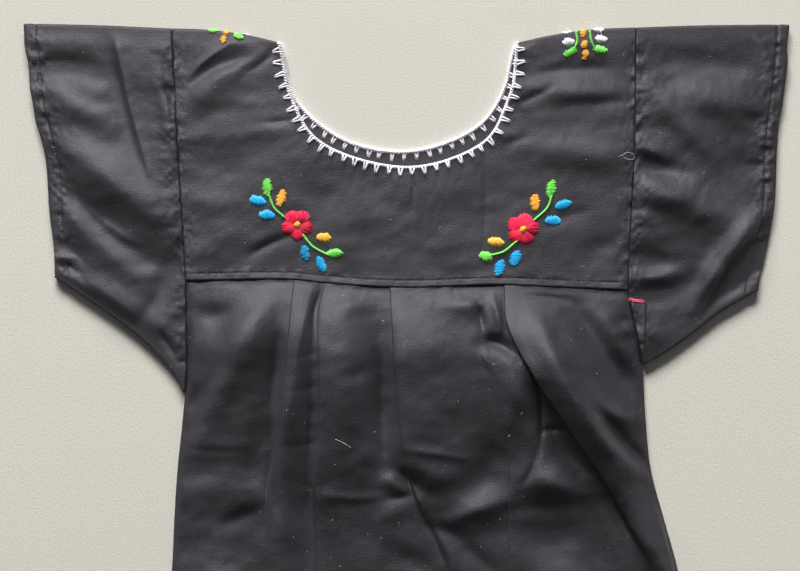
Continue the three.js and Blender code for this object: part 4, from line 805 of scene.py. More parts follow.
SKIRT_BANDS = (44, 15, 32, 42, 36, 34)  # columns between the pleats, from the left side to the right
PLEAT_ARC = 4
SKIRT_TOP_Y = 126.0
HEM_MIDDLE_X, HEM_HALF_WIDTH = 19.0, 190.0
PRESSED_LENGTH = 30.0  # the pleats lie half pressed at the seam, and free below this
SIDE_EASE = 16.0  # from the side seam to where the skirt lies free
SKIRT_SEAM_REACH = 12.0
PUFF_EASE = 45.0
PUFF_LENGTH, PUFF_FADE = 40.0, 120.0
SKIRT_RISE = 0.9  # how far the front stands off the back, away from its side seams
CREASE_SIDE, CREASE_BELOW = 5.0, 14.0  # creases die out towards the side seams and the yoke
SEAM_DIP, SEAM_DIP_REACH = 0.9, 4.0
SIDE_DIP, SIDE_DIP_REACH = 0.9, 1.4
HEM_TURN, HEM_THICKER = 16.0, 0.3
HEM_GROOVE, HEM_GROOVE_REACH = 0.4, 0.9
SKIRT_ROWS = ((0.015, 7), (0.455, 133), (1.0, 39))  # closer where the gathers and the pleats are


def skirt_y(x, down):
    """The y of a row of the skirt, from the yoke seam down to the hem."""
    hem = HEM_Y + HEM_RISE * np.minimum(1, ((x - HEM_MIDDLE_X) / HEM_HALF_WIDTH) ** 2)
    top = YOKE_EDGE.y_at(x) - SEAM_GAP / 2
    return top + (hem - top) * down


def skirt_edges(down):
    """Where a row of the skirt meets its two side seams."""
    ends = []
    for side, sign in (("left", 1), ("right", -1)):
        x = column(SKIRT_SIDES, SIDE_COLUMNS, side, SKIRT_SIDES[0][0] + (HEM_Y - SKIRT_SIDES[0][0]) * down)
        for _ in range(3):
            x = seam_x(side, skirt_y(x, down))
        ends.append(float(x) + sign * SEAM_GAP / 2)
    return ends


def pleat_section(pleat, y, pressed):
    """One pleat across: an arc up and over, the lap, and an arc back down to the panel."""
    edge, rise, turn, lap = (float(column(pleat, PLEAT_COLUMNS, name, y)) for name in PLEAT_COLUMNS[1:])
    turn = math.radians(min(180.0, turn))
    room = (rise - 2 * TIGHTEST_BEND * (1 - math.cos(turn))) / max(math.sin(turn), 0.01)
    lap = min(max(lap, 0.3), room)
    radius = (rise - lap * math.sin(turn)) / (2 * (1 - math.cos(turn)))
    start = edge + radius + WALL / 2 - 2 * radius * math.sin(turn) - lap * math.cos(turn)
    angle = turn * np.arange(PLEAT_ARC + 1) / PLEAT_ARC
    first = np.stack([start + radius * np.sin(angle), radius * (1 - np.cos(angle))], axis=-1)
    over = (start + 2 * radius * math.sin(turn) + lap * math.cos(turn), rise - radius)
    back = angle[::-1]
    second = np.stack([over[0] - radius * np.sin(back), over[1] + radius * np.cos(back)], axis=-1)
    section = np.vstack([first, second])
    section[:, 1] *= pressed
    return section


def skirt_section(down):
    """One row across the skirt's front, with its pleats, as plan x and height."""
    left, right = skirt_edges(down)
    y = SKIRT_TOP_Y + (HEM_Y - SKIRT_TOP_Y) * down
    pressed = 0.5 + 0.5 * float(smooth((SKIRT_TOP_Y - y) / PRESSED_LENGTH))
    pleats = [pleat_section(pleat, y, pressed) for pleat in PLEATS.values()]
    section = [np.array([[left, 0.0]])]
    for band, following in enumerate(pleats + [np.array([[right, 0.0]])]):
        last = section[-1][-1]
        widest = pleats[band - 1][:, 0].max() if band else last[0]
        begin = max(last[0], widest) + (WALL if band else 0.3)
        end = following[:, 0].min() - 1.2 * WALL
        share = np.linspace(0, 1, SKIRT_BANDS[band] - 1)
        x = begin + (end - begin) * share
        section += [np.stack([x, last[1] * (1 - smooth(share))], axis=-1), following]
    return np.vstack(section)


def skirt_lift(x, y):
    """How far the upper layer of the skirt lies above its lowest level."""
    from_side = np.minimum(x - seam_x("left", y), seam_x("right", y) - x)
    inner = smooth(from_side / SIDE_EASE)
    below = YOKE_EDGE.y_at(x) - y
    seam = near(below, SKIRT_SEAM_REACH)
    folds = (0.25 + 0.75 * inner) * crease_heights(SKIRT_FOLDS, x, y)
    puff = SKIRT_PUFF * smooth(from_side / PUFF_EASE) * smooth(below / PUFF_EASE)
    puff = puff * (1 - smooth((below - PUFF_LENGTH) / PUFF_FADE))
    z = (SKIRT_RISE * inner + puff + folds) * (1 - seam) + (SEAM_LEVEL - LOW_LEVEL) * seam
    free = smooth(from_side / CREASE_SIDE) * smooth(below / CREASE_BELOW)
    z += free * (SKIRT_LOFT + crease_heights(SKIRT_CREASES, x, y) + cloth_relief(x, y, SKIRT_SEED))
    z += smooth(below / 1.5) * gathers("yoke seam", below, x)
    z += smooth(from_side / 2) * gathers("side seam", from_side, y)
    z -= SEAM_DIP * near(below, SEAM_DIP_REACH) + SIDE_DIP * near(from_side, SIDE_DIP_REACH)
    from_hem = y - skirt_y(x, 1.0)
    z -= HEM_GROOVE * near(from_hem - HEM_TURN, HEM_GROOVE_REACH)
    return z + HEM_THICKER * smooth((HEM_TURN - from_hem) / 3)


def skirt_front_points():
    """The skirt's front as rows of points from the yoke seam to the hem."""
    grid = []
    for down in spaced(*SKIRT_ROWS):
        section = skirt_section(down)
        x = section[:, 0]
        y = skirt_y(x, down)
        grid.append(np.stack([x, y, LOW_LEVEL + section[:, 1] + skirt_lift(x, y)], axis=-1))
    points = np.array(grid)
    points[..., 2] = above_floor(points[..., 2], SKIRT_FLOOR)
    return points


def skirt_back_points(rows=84, columns=60):
    """The skirt's back as rows of points from the yoke seam to the hem."""
    grid = []
    for down in np.linspace(0, 1, rows + 1):
        left, right = skirt_edges(down)
        x = np.linspace(left, right, columns + 1)
        grid.append(np.stack([x, skirt_y(x, down), np.full_like(x, BACK_LEVEL)], axis=-1))
    return np.array(grid)


# ---------------- meshes


def settings():
    """The sizes a user may change."""
    return bpy.context.scene.dress_sizes


def new_object(name, points, faces, look, uv):
    """A mesh object from points in millimetres, with its place in its mesh."""
    mesh = bpy.data.meshes.new(name)
    mesh.from_pydata((np.asarray(points) * MM).tolist(), [], faces)
    mesh.materials.append(look)
    corner = np.empty(len(mesh.loops), dtype=np.int32)
    mesh.loops.foreach_get("vertex_index", corner)
    mesh.uv_layers.new(name="cloth").data.foreach_set("uv", uv[corner].astype(np.float32).ravel())
    made = bpy.data.objects.new(name, mesh)
    bpy.context.scene.collection.objects.link(made)
    return made


def make_active(piece):
    """Selects one piece alone, for the tools that work on the selection."""
    bpy.ops.object.select_all(action="DESELECT")
    piece.select_set(True)
    bpy.context.view_layer.objects.active = piece


def grid_faces(rows, columns, closed):
    """Quads over a grid whose columns may run round in a loop."""
    row, column_here = np.meshgrid(
        np.arange(rows - 1), np.arange(columns if closed else columns - 1), indexing="ij"
    )
    here, beside = row * columns + column_here, row * columns + (column_here + 1) % columns
    return np.stack([here, beside, beside + columns, here + columns], axis=-1).reshape(-1, 4).tolist()


def cloth_piece(name, grid, closed=False):
    """A thin shell of cloth over a grid of points, with its weave laid along the panel."""
    rows, columns = grid.shape[:2]
    points = grid.reshape(-1, 3)
    faces = grid_faces(rows, columns, closed)
    piece = new_object(name, points, faces, material("cloth"), points[:, :2] * MM)
    middle = piece.data.polygons[(rows // 2) * (columns if closed else columns - 1) + 5]
    if middle.normal.z < 0:
        piece.data.flip_normals()
    make_active(piece)
    wall = piece.modifiers.new("cloth", "SOLIDIFY")
    wall.thickness = settings().cloth_thickness
    wall.offset = 0.0
    bpy.ops.object.modifier_apply(modifier=wall.name)
    bpy.ops.object.shade_smooth_by_angle(angle=math.radians(50))
    return piece


def round_path(path):
    """The two directions across a path at each of its points: level, and upwards."""
    along = np.gradient(path, axis=0)
    along /= np.linalg.norm(along, axis=1, keepdims=True) + 1e-9
    side = np.cross(along, (0.0, 0.0, 1.0))
    side[np.linalg.norm(side, axis=1) < 1e-3] = (1.0, 0.0, 0.0)
    side /= np.linalg.norm(side, axis=1, keepdims=True)
    return side, np.cross(side, along)


def tubes(paths, radius, sides=6, taper=0.55):
    """Threads as closed tubes along paths of points: their points, faces and UVs."""
    points, faces, uvs = [], [], []
    turn = 2 * np.pi * np.arange(sides) / sides
    base = 0
    for path in paths:
        path = np.asarray(path, float)
        n = len(path)
        side, up = round_path(path)
        size = np.full(n, radius)
        size[[0, -1]] *= taper
        ring = np.cos(turn)[None, :, None] * side[:, None] + np.sin(turn)[None, :, None] * up[:, None]
        points.append((path[:, None] + ring * size[:, None, None]).reshape(-1, 3))
        uv = np.broadcast_arrays(lengths(path)[:, None], turn[None] / (2 * np.pi))
        uvs.append(np.stack(uv, axis=-1).reshape(-1, 2))
        for i in range(n - 1):
            a, b = base + i * sides, base + (i + 1) * sides
            faces += [(a + k, a + (k + 1) % sides, b + (k + 1) % sides, b + k) for k in range(sides)]
        faces.append(tuple(base + k for k in reversed(range(sides))))
        faces.append(tuple(base + (n - 1) * sides + k for k in range(sides)))
        base += n * sides
    return np.vstack(points), faces, np.vstack(uvs)


def thread_piece(name, paths, radius, thread, sides=6, taper=0.55):
    """One object of all the threads along those paths."""
    points, faces, uv = tubes(paths, radius, sides, taper)
    piece = new_object(name, points, faces, material(thread), uv)
    make_active(piece)
    bpy.ops.object.shade_smooth()
    return piece


# ---------------- where threads lie on the yoke


FOLD_ARC = 1.4  # how far round the shoulder fold, in radians, threads may reach


class YokeTop:
    """Where the yoke's outer face is, over its shoulder fold too."""

    def __init__(self, front):
        ends = np.vstack([front[:, 0], front[::-1, -1]])
        order = np.argsort(ends[:, 0])
        self.fold = ends[order]

    def at(self, x, y, lift):
        """A point on the cloth's face, raised by lift, as an array of xyz."""
        x, y, lift = np.broadcast_arrays(np.asarray(x, float), y, lift)
        fold_y = np.interp(x, self.fold[:, 0], self.fold[:, 1])
        fold_z = np.interp(x, self.fold[:, 0], self.fold[:, 2])
        radius = (fold_z - BACK_LEVEL) / 2
        face = CLOTH / 2 + lift
        flat_z = yoke_level(x, np.minimum(y, fold_y)) + face
        angle = np.clip((y - fold_y) / radius, 0, FOLD_ARC)
        round_y = fold_y + (radius + face) * np.sin(angle)
        round_z = BACK_LEVEL + radius + (radius + face) * np.cos(angle)
        past = y > fold_y
        return np.stack([x, np.where(past, round_y, y), np.where(past, round_z, flat_z)], axis=-1)


THREAD_STEPS = 7  # points along one strand
REACH_SPREAD = 0.6  # how far a strand may end short of the shape's outline or past it


def satin(top, x, y, angle, length, width, rng, slant=14, crown=0.85, pointed=0.8):
    """Threads laid side by side across a leaf, rising over its middle and diving in at its rim."""
    axis = math.radians(angle)
    cross = axis + math.pi / 2 + math.radians(slant)
    ahead = np.array([math.cos(axis), math.sin(axis)])
    aside = np.array([math.cos(cross), math.sin(cross)])
    count = max(5, int(length / STRAND_PITCH))
    t = np.linspace(-1, 1, THREAD_STEPS)
    paths = []
    for s in (np.arange(count) + 0.5) / count * 2 - 1:
        half = width / 2 * max(0.0, 1 - abs(s) ** (2 / pointed)) ** 0.55 + 0.1
        reach = np.array([-half, half]) + rng.uniform(-REACH_SPREAD, REACH_SPREAD, 2)
        across = reach[0] + (reach[1] - reach[0]) * (t + 1) / 2
        along = s * length / 2 + rng.uniform(-0.08, 0.08)
        plan = np.array([x, y]) + ahead * along + across[:, None] * aside
        rise = crown * np.sqrt(1 - t**2) * (0.55 + 0.45 * (1 - s * s)) + rng.uniform(-0.06, 0.06)
        paths.append(top.at(plan[:, 0], plan[:, 1], rise - 0.12))
    return paths


def flower_paths(top, flower, rng):
    """Five petals of threads that run outwards from the flower's eye."""
    paths = []
    t = np.linspace(0, 1, THREAD_STEPS)
    dome = np.sqrt(np.clip(np.sin(np.pi * (0.12 + 0.88 * t)), 0, 1))
    for petal in range(PETALS):
        towards = math.radians(flower["first_petal"] + 360 / PETALS * petal + rng.uniform(-4, 4))
        aside = np.array([-math.sin(towards), math.cos(towards)])
        count = int(PETAL_CLOSENESS * flower["petal_width"] / STRAND_PITCH)
        for s in np.linspace(-1, 1, count):
            spread = math.radians(s * PETAL_SPREAD + rng.uniform(-1.5, 1.5))
            ahead = np.array([math.cos(towards + spread), math.sin(towards + spread)])
            tip = flower["radius"] * (1 - PETAL_ROUNDING * abs(s) ** 2.5) + rng.uniform(-0.5, 0.4)
            plan = np.array([flower["x"], flower["y"]]) + aside * s * 1.1
            plan = plan + ahead * (1.0 + (tip - 1.0) * t)[:, None]
            rise = dome * (1 - 0.45 * s * s) + rng.uniform(-0.08, 0.08)
            paths.append(top.at(plan[:, 0], plan[:, 1], rise - 0.1))
    return paths


def twisted(path, radius, pitch, plies=2, phase=0.0):
    """Plies of a twisted cord around a path."""
    side, up = round_path(path)
    made = []
    for ply in range(plies):
        angle = (2 * np.pi * (lengths(path) / pitch + ply / plies) + phase)[:, None]
        made.append(path + radius * (np.cos(angle) * side + np.sin(angle) * up))
    return made


def resample(path, step):
    """The same path with points a given length apart."""
    length = lengths(path)
    at = np.linspace(0, length[-1], max(3, int(length[-1] / step)))
    return np.stack([np.interp(at, length, path[:, n]) for n in range(3)], axis=-1)


# ---------------- materials

WEAVE_PITCH = 0.9 * MM  # the real threads are 0.25 mm apart: drawn coarser, so that the weave shows


def set_inputs(tree, node, inputs=None, links=None):
    """Sets a node's input values, and links other inputs to other nodes' sockets."""
    for socket, value in (inputs or {}).items():
        node.inputs[socket].default_value = value
    for socket, source in (links or {}).items():
        tree.links.new(source, node.inputs[socket])


def add_node(tree, kind, inputs=None, links=None, stops=(), **values):
    """Adds a node with its settings, inputs and links, and a ramp's (position, colour) stops."""
    node = tree.nodes.new("ShaderNode" + kind)
    for name, value in values.items():
        setattr(node, name, value)
    for n, (position, colour) in enumerate(stops):
        node.color_ramp.elements[n].position = position
        node.color_ramp.elements[n].color = (*colour, 1)
    set_inputs(tree, node, inputs, links)
    return node


def new_material(name):
    """A material, its tree and shader, and the sockets that give a place on the object and on the cloth."""
    made = bpy.data.materials.new(name)
    made.use_nodes = True
    tree = made.node_tree
    spot = add_node(tree, "TexCoord").outputs["Object"]
    cloth = add_node(tree, "UVMap", uv_map="cloth").outputs["UV"]
    return made, tree, tree.nodes["Principled BSDF"], spot, cloth


def add_relief(tree, shader, layers):
    """Lays (height socket, strength, depth in metres) layers of small relief over one another."""
    normal = {}
    for height, strength, depth in layers:
        bump = add_node(tree, "Bump", {"Strength": strength, "Distance": depth}, {"Height": height, **normal})
        normal = {"Normal": bump.outputs["Normal"]}
    set_inputs(tree, shader, links=normal)


def black_poplin():
    """Black cotton poplin, washed a few times: a close plain weave with a soft sheen, faintly grey where
    it has rubbed, and small crumples that catch the light."""
    made, tree, shader, spot, cloth = new_material("black cotton poplin")
    colours = bpy.context.scene.dress_colours
    grid = add_node(tree, "Mapping", {"Scale": (1 / WEAVE_PITCH,) * 3}, {"Vector": cloth})
    warp, weft = (
        add_node(
            tree, "TexWave", {"Scale": 0.32, "Distortion": 1.2, "Detail": 1.0, "Detail Scale": 2.0},
            {"Vector": grid.outputs["Vector"]}, bands_direction=direction,
        ).outputs["Fac"]
        for direction in ("X", "Y")
    )
    weave = add_node(tree, "Math", links={0: warp, 1: weft}, operation="MULTIPLY").outputs["Value"]
    fading, slubs, crumples = (
        add_node(
            tree, "TexNoise", {"Scale": scale, "Detail": detail, "Roughness": roughness}, {"Vector": spot}
        ).outputs["Fac"]
        for scale, detail, roughness in ((28.0, 5.0, 0.62), (1000.0, 2.0, 0.7), (190.0, 4.0, 0.6))
    )
    worn = add_node(tree, "Math", {1: 0.9}, {0: slubs, 2: fading}, operation="MULTIPLY_ADD")
    tone = add_node(
        tree, "ValToRGB", links={"Fac": worn.outputs["Value"]},
        stops=((0.72, colours.cloth), (1.0, colours.cloth_faded)),
    )
    look = {
        "Roughness": 0.55, "Specular IOR Level": 0.95, "Specular Tint": (*linear(HEX["gloss"]), 1),
        "Sheen Weight": 0.02, "Sheen Roughness": 0.5, "Sheen Tint": (*linear(HEX["sheen"]), 1),
    }
    set_inputs(tree, shader, look, {"Base Color": tone.outputs["Color"]})
    add_relief(tree, shader, ((weave, 0.14, 0.0002), (slubs, 0.8, 0.00026), (crumples, 0.16, 0.0009)))
    return made


def cotton_thread(name):
    """Stranded mercerised cotton: smooth, with a silky gloss along the strand, and a slightly deeper colour
    of painted shade, meant for between the strands, which the noise lays in random patches."""
    title, plain, deeper, roughness = THREADS[name]
    made, tree, shader, spot, cloth = new_material(title)
    colour = getattr(bpy.context.scene.dress_colours, "white" if name == "crochet" else name)
    # painted shade: the deeper colour stands for the shade between strands, laid in random patches by the
    # noise below
    shade = [now * low / high for now, low, high in zip(colour, linear(deeper), linear(plain))]
    twist = add_node(tree, "Mapping", {"Scale": (1.0, 2.0, 1.0)}, {"Vector": cloth})
    plies = add_node(
        tree, "TexWave", {"Scale": 0.6, "Distortion": 0.6}, {"Vector": twist.outputs["Vector"]},
        bands_direction="DIAGONAL",
    )
    uneven = add_node(tree, "TexNoise", {"Scale": 900.0, "Detail": 2.0}, {"Vector": spot})
    tone = add_node(
        tree, "ValToRGB", links={"Fac": uneven.outputs["Fac"]}, stops=((0.34, shade), (0.6, colour))
    )
    look = {"Roughness": roughness, "Sheen Weight": 0.25, "Sheen Roughness": 0.5}
    set_inputs(tree, shader, look, {"Base Color": tone.outputs["Color"]})
    add_relief(tree, shader, ((plies.outputs["Fac"], 0.2, 0.00012),))
    return made


def plastered_board():
    """An off-white matt table top with a fine stippled coat: small round bumps about 2 mm across, with
    painted shade in their hollows and broad random mottling.
    """
    made, tree, shader, spot, _ = new_material("stippled off-white board")
    colours = bpy.context.scene.dress_colours
    stipple = add_node(
        tree, "TexNoise", {"Scale": 800.0, "Detail": 2.0, "Roughness": 0.5}, {"Vector": spot}
    ).outputs["Fac"]
    clouds = add_node(tree, "TexNoise", {"Scale": 5.0, "Detail": 2.0}, {"Vector": spot}).outputs["Fac"]
    mixed = add_node(tree, "Math", {1: 0.2}, {0: clouds, 2: stipple}, operation="MULTIPLY_ADD")
    # painted shade: the deeper colour follows the bumps' own noise, so it lies in their hollows; the broad
    # clouds are random mottling
    tone = add_node(
        tree, "ValToRGB", links={"Fac": mixed.outputs["Value"]},
        stops=((0.42, colours.surface_painted_shade), (0.76, colours.surface)),
    )
    look = {"Roughness": 1.0, "Specular IOR Level": 0.08}
    set_inputs(tree, shader, look, {"Base Color": tone.outputs["Color"]})
    add_relief(tree, shader, ((stipple, 0.2, 0.0004),))
    return made


MATERIALS = {}


def material(name):
    """One of the dress's materials, made when it is first asked for."""
    if name not in MATERIALS:
        others = {"cloth": black_poplin, "surface": plastered_board}
        MATERIALS[name] = others[name]() if name in others else cotton_thread(name)
    return MATERIALS[name]


# ---------------- sizes and colours a user may change


def length_setting(name, description, millimetres):
    """A length that a user may change."""
    return bpy.props.FloatProperty(
        name=name, description=description, default=millimetres * MM, min=0, unit="LENGTH"
    )


def power_setting(name, description, watts):
    """A lamp's power that a user may change."""
    return bpy.props.FloatProperty(name=name, description=description, default=watts, min=0, unit="POWER")


def colour_setting(name, description, hex_colour):
    """A colour that a user may change."""
    return bpy.props.FloatVectorProperty(
        name=name, description=description, default=linear(hex_colour), subtype="COLOR", min=0, max=1
    )


class DressSizes(bpy.types.PropertyGroup):
    """Sizes of the cloth, the threads and the stitches."""

    cloth_thickness: length_setting("Cloth thickness", "Thickness of one layer of the cotton", CLOTH)
    floss_radius: length_setting("Floss radius", "Half the thickness of an embroidery strand", 0.37)
    crochet_radius: length_setting("Crochet thread radius", "Half the thickness of the neck's thread", 0.58)
    neck_stitch_pitch: length_setting("Neck stitch spacing", "Between the V stitches at the neck", 7.2)
    neck_stitch_height: length_setting("Neck stitch height", "How far they reach into the cloth", 5.2)
    sewing_pitch: length_setting("Machine stitch length", "Length of one machine stitch", 1.9)


class DressColours(bpy.types.PropertyGroup):
    """Colours of the cloth, the threads and the surface."""

    cloth: colour_setting("Cloth", "Black of the cotton", HEX["cloth"])
    cloth_faded: colour_setting("Rubbed cloth", "The cotton where it has rubbed", HEX["cloth_faded"])
    red: colour_setting("Red floss", "Petals", THREADS["red"][1])
    green: colour_setting("Green floss", "Stems and green leaves", THREADS["green"][1])
    blue: colour_setting("Blue floss", "Blue leaves", THREADS["blue"][1])
    yellow: colour_setting("Yellow floss", "Yellow leaves and the flowers' eyes", THREADS["yellow"][1])
    white: colour_setting("White thread", "Neck edging and white leaves", THREADS["white"][1])
    pink: colour_setting("Pink thread", "Bar tack under the armhole", THREADS["pink"][1])
    # mid grey for a black thread: painted highlight
    sewing: colour_setting("Sewing thread", "Machine stitches and loose ends", THREADS["sewing"][1])
    lint: colour_setting("Lint", "Specks of fluff on the cloth", THREADS["lint"][1])
    surface: colour_setting("Surface", "The surface round the dress", HEX["surface"])
    # painted shade in the hollows between the surface's small bumps
    surface_painted_shade: colour_setting("Surface, deeper", "Between its small bumps", HEX["surface_painted_shade"])


class DressLight(bpy.types.PropertyGroup):
    """Strengths of the lights."""

    window_power: power_setting("Window light", "The large soft light behind the shoulders", 1420.0)
    ceiling_power: power_setting("Ceiling light", "The soft light that gives the cloth its sheen", 125.0)
    side_power: power_setting("Side light", "Each of the two soft lights at the sides", 18.0)
    room_strength: bpy.props.FloatProperty(
        name="Room light", description="Strength of the even light from all round", default=0.025, min=0
    )


class Shared:
    """What one piece's operator leaves for the next."""

    yoke_grid = None
    yoke_top = None


def ready_yoke():
    """Shapes the yoke, where no piece before has."""
    if Shared.yoke_grid is None:
        front, Shared.yoke_grid = yoke_points()
        Shared.yoke_top = YokeTop(front)


def declare_cloth(piece, node):
    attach(piece, "root")
    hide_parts(node)


def declare_thread(piece, node=None):
    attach(piece, "root")
    if node:
        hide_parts(node)


# ---------------- the operators

CORD_INSET = 0.35  # how far the neck cord's middle lies inside the cloth's edge
CORD_FLOOR = 0.95  # how low that middle may come
CORD_STEP, CORD_UNEVEN = 0.55, 0.05
CORD_TWIST, CORD_PITCH = 0.62, 3.4  # radius and length of one turn of its two plies
STEM_TWIST, STEM_PITCH, STEM_PLIES = 0.34, 3.4, 3
STEM_STEP, STEM_LIFT = 0.45, 0.35
STITCH_ENDS = (0.14, 0.86)  # the share of its length where a machine stitch comes up and goes in
STITCH_GAP = 0.25
BAND_MIDDLE_X, BAND_HALF_LENGTH = 0.3, 137
CUFF_ROW_LOW, CUFF_ROW_HIGH = 6, 5  # how far from the cuff's two ends its row stops
TACK_LIFT, LOOSE_LIFT, LINT_LIFT, HAIR_LIFT = 0.35, 0.3, 0.1, 0.12
NECK_CENTRE = (-4.0, 260.0)
NECK_SEED, FLOSS_SEED, SEWING_SEED = 7, 23, 5


class DRESS_OT_skirt_back(bpy.types.Operator):
    """Back of the skirt, lying flat on the surface"""

    bl_idname = "dress.skirt_back"
    bl_label = "Skirt back"

    def execute(self, context):
        piece = cloth_piece("skirt_back_panel", skirt_back_points())
        declare_cloth(piece, "skirt_back")
        return {"FINISHED"}


class DRESS_OT_skirt_front(bpy.types.Operator):
    """Front of the skirt, pleated into the yoke"""

    bl_idname = "dress.skirt_front"
    bl_label = "Skirt front"

    def execute(self, context):
        piece = cloth_piece("skirt_front_panel", skirt_front_points())
        declare_cloth(piece, "skirt_front")
        return {"FINISHED"}


class DRESS_OT_sleeves(bpy.types.Operator):
    """Both sleeves, each folded along the top and closed along the underarm"""

    bl_idname = "dress.sleeves"
    bl_label = "Sleeves"

    def execute(self, context):
        for side in SLEEVES:
            piece = cloth_piece("sleeve_" + side + "_cloth", sleeve_points(side), closed=True)
            declare_cloth(piece, "sleeve_" + side)
        return {"FINISHED"}


class DRESS_OT_yoke(bpy.types.Operator):
    """Yoke, cut in one with its back and folded along the shoulders"""

    bl_idname = "dress.yoke"
    bl_label = "Yoke"

    def execute(self, context):
        ready_yoke()
        piece = cloth_piece("yoke_cloth", Shared.yoke_grid, closed=True)
        declare_cloth(piece, "yoke")
        return {"FINISHED"}


class DRESS_OT_neck_edging(bpy.types.Operator):
    """Crocheted cord round the neck with its ring of slanting stitches"""

    bl_idname = "dress.neck_edging"
    bl_label = "Neck edging"

    def execute(self, context):
        ready_yoke()
        rng = np.random.default_rng(NECK_SEED)
        thread = settings().crochet_radius / MM
        edge = Shared.yoke_grid[0]
        inside = edge - Shared.yoke_grid[1]
        inside /= np.linalg.norm(inside, axis=1, keepdims=True)
        ring = edge + inside * CORD_INSET
        loop = resample(np.vstack([ring, ring[:1]]), CORD_STEP)
        loop[:, 2] = np.maximum(loop[:, 2], CORD_FLOOR)
        loop += rng.normal(0, CORD_UNEVEN, loop.shape)
        plies = twisted(loop, CORD_TWIST, CORD_PITCH)
        cord = thread_piece("neck_cord", plies, thread * 1.1, "crochet", 7)
        declare_thread(cord, "neck_trim")
        ring = thread_piece("neck_stitches", self.stitches(rng, thread), thread * 1.15, "crochet", 6, 0.8)
        declare_thread(ring)
        return {"FINISHED"}

    def stitches(self, rng, thread):
        """V stitches with their points away from the neck, on the front's face and inside the back."""
        size = settings()
        pitch, height = size.neck_stitch_pitch / MM, size.neck_stitch_height / MM
        t = np.linspace(0, 1, 8)[:, None]
        rise = thread * (0.7 + 0.5 * np.sin(np.pi * t[:, 0])) - 0.5 * (t[:, 0] > 0.99)
        made = []
        for neck in (FRONT_NECK, BACK_NECK):
            curve = PlanCurve(neck)
            count = int(curve.length[-1] / pitch)
            for n in range(count):
                share = (n + 0.5 + rng.uniform(-0.08, 0.08)) / count
                root = curve.at_length(share)
                along = curve.tangent(np.interp(share, curve.length / curve.length[-1], curve.share))
                away = np.array([along[1], -along[0]])
                if away @ (root - NECK_CENTRE) < 0:
                    away = -away
                tip = root + away * height * rng.uniform(0.78, 1.08) + along * rng.uniform(-0.9, 0.9)
                for side in (-1, 1):
                    foot = root + along * side * (1.15 + rng.uniform(-0.3, 0.35)) - away * 0.3
                    plan = foot * (1 - t) + (tip + along * side * 0.3) * t
                    if neck is FRONT_NECK:
                        made.append(Shared.yoke_top.at(plan[:, 0], plan[:, 1], rise))
                    else:
                        made.append(np.column_stack([plan, BACK_LEVEL + CLOTH / 2 + 0.5 * rise]))
        return made


class DRESS_OT_embroidery(bpy.types.Operator):
    """Two sprays of satin-stitched flowers and leaves, and the motifs over the shoulder folds"""

    bl_idname = "dress.embroidery"
    bl_label = "Embroidery"

    def execute(self, context):
        ready_yoke()
        rng = np.random.default_rng(FLOSS_SEED)
        top = Shared.yoke_top
        strand = settings().floss_radius / MM
        for side, flower in FLOWERS.items():
            petals = flower_paths(top, flower, rng)
            petals = thread_piece(side + "_flower_threads", petals, strand, "red", 5)
            declare_thread(petals, side + "_flower")
            eye = satin(
                top, flower["x"], flower["y"], 60, FLOWER_CENTRE, FLOWER_CENTRE, rng,
                slant=0, crown=1.6, pointed=1.0,
            )
            declare_thread(thread_piece(side + "_flower_eye", eye, strand, "yellow", 5))
        for group, leaves in LEAVES.items():
            for name, *shape, thread in leaves:
                node = group + "_" + name
                leaf = thread_piece(node + "_threads", satin(top, *shape, rng), strand, thread, 5)
                declare_thread(leaf, node)
        for name, *shape, thread in OVER_THE_FOLD:
            words = name.replace(" ", "_").replace(",", "")
            leaf = thread_piece(words, satin(top, *shape, rng, crown=0.6), strand, thread, 5)
            declare_thread(leaf)
        stems = []
        for points in STEMS:
            plan = PlanCurve(points).at_length(np.linspace(0, 1, 30))
            centre = resample(top.at(plan[:, 0], plan[:, 1], STEM_LIFT), STEM_STEP)
            stems += twisted(centre, STEM_TWIST, STEM_PITCH, STEM_PLIES, rng.uniform(0, 6))
        declare_thread(thread_piece("stem_threads", stems, strand * 1.15, "green", 6))
        return {"FINISHED"}


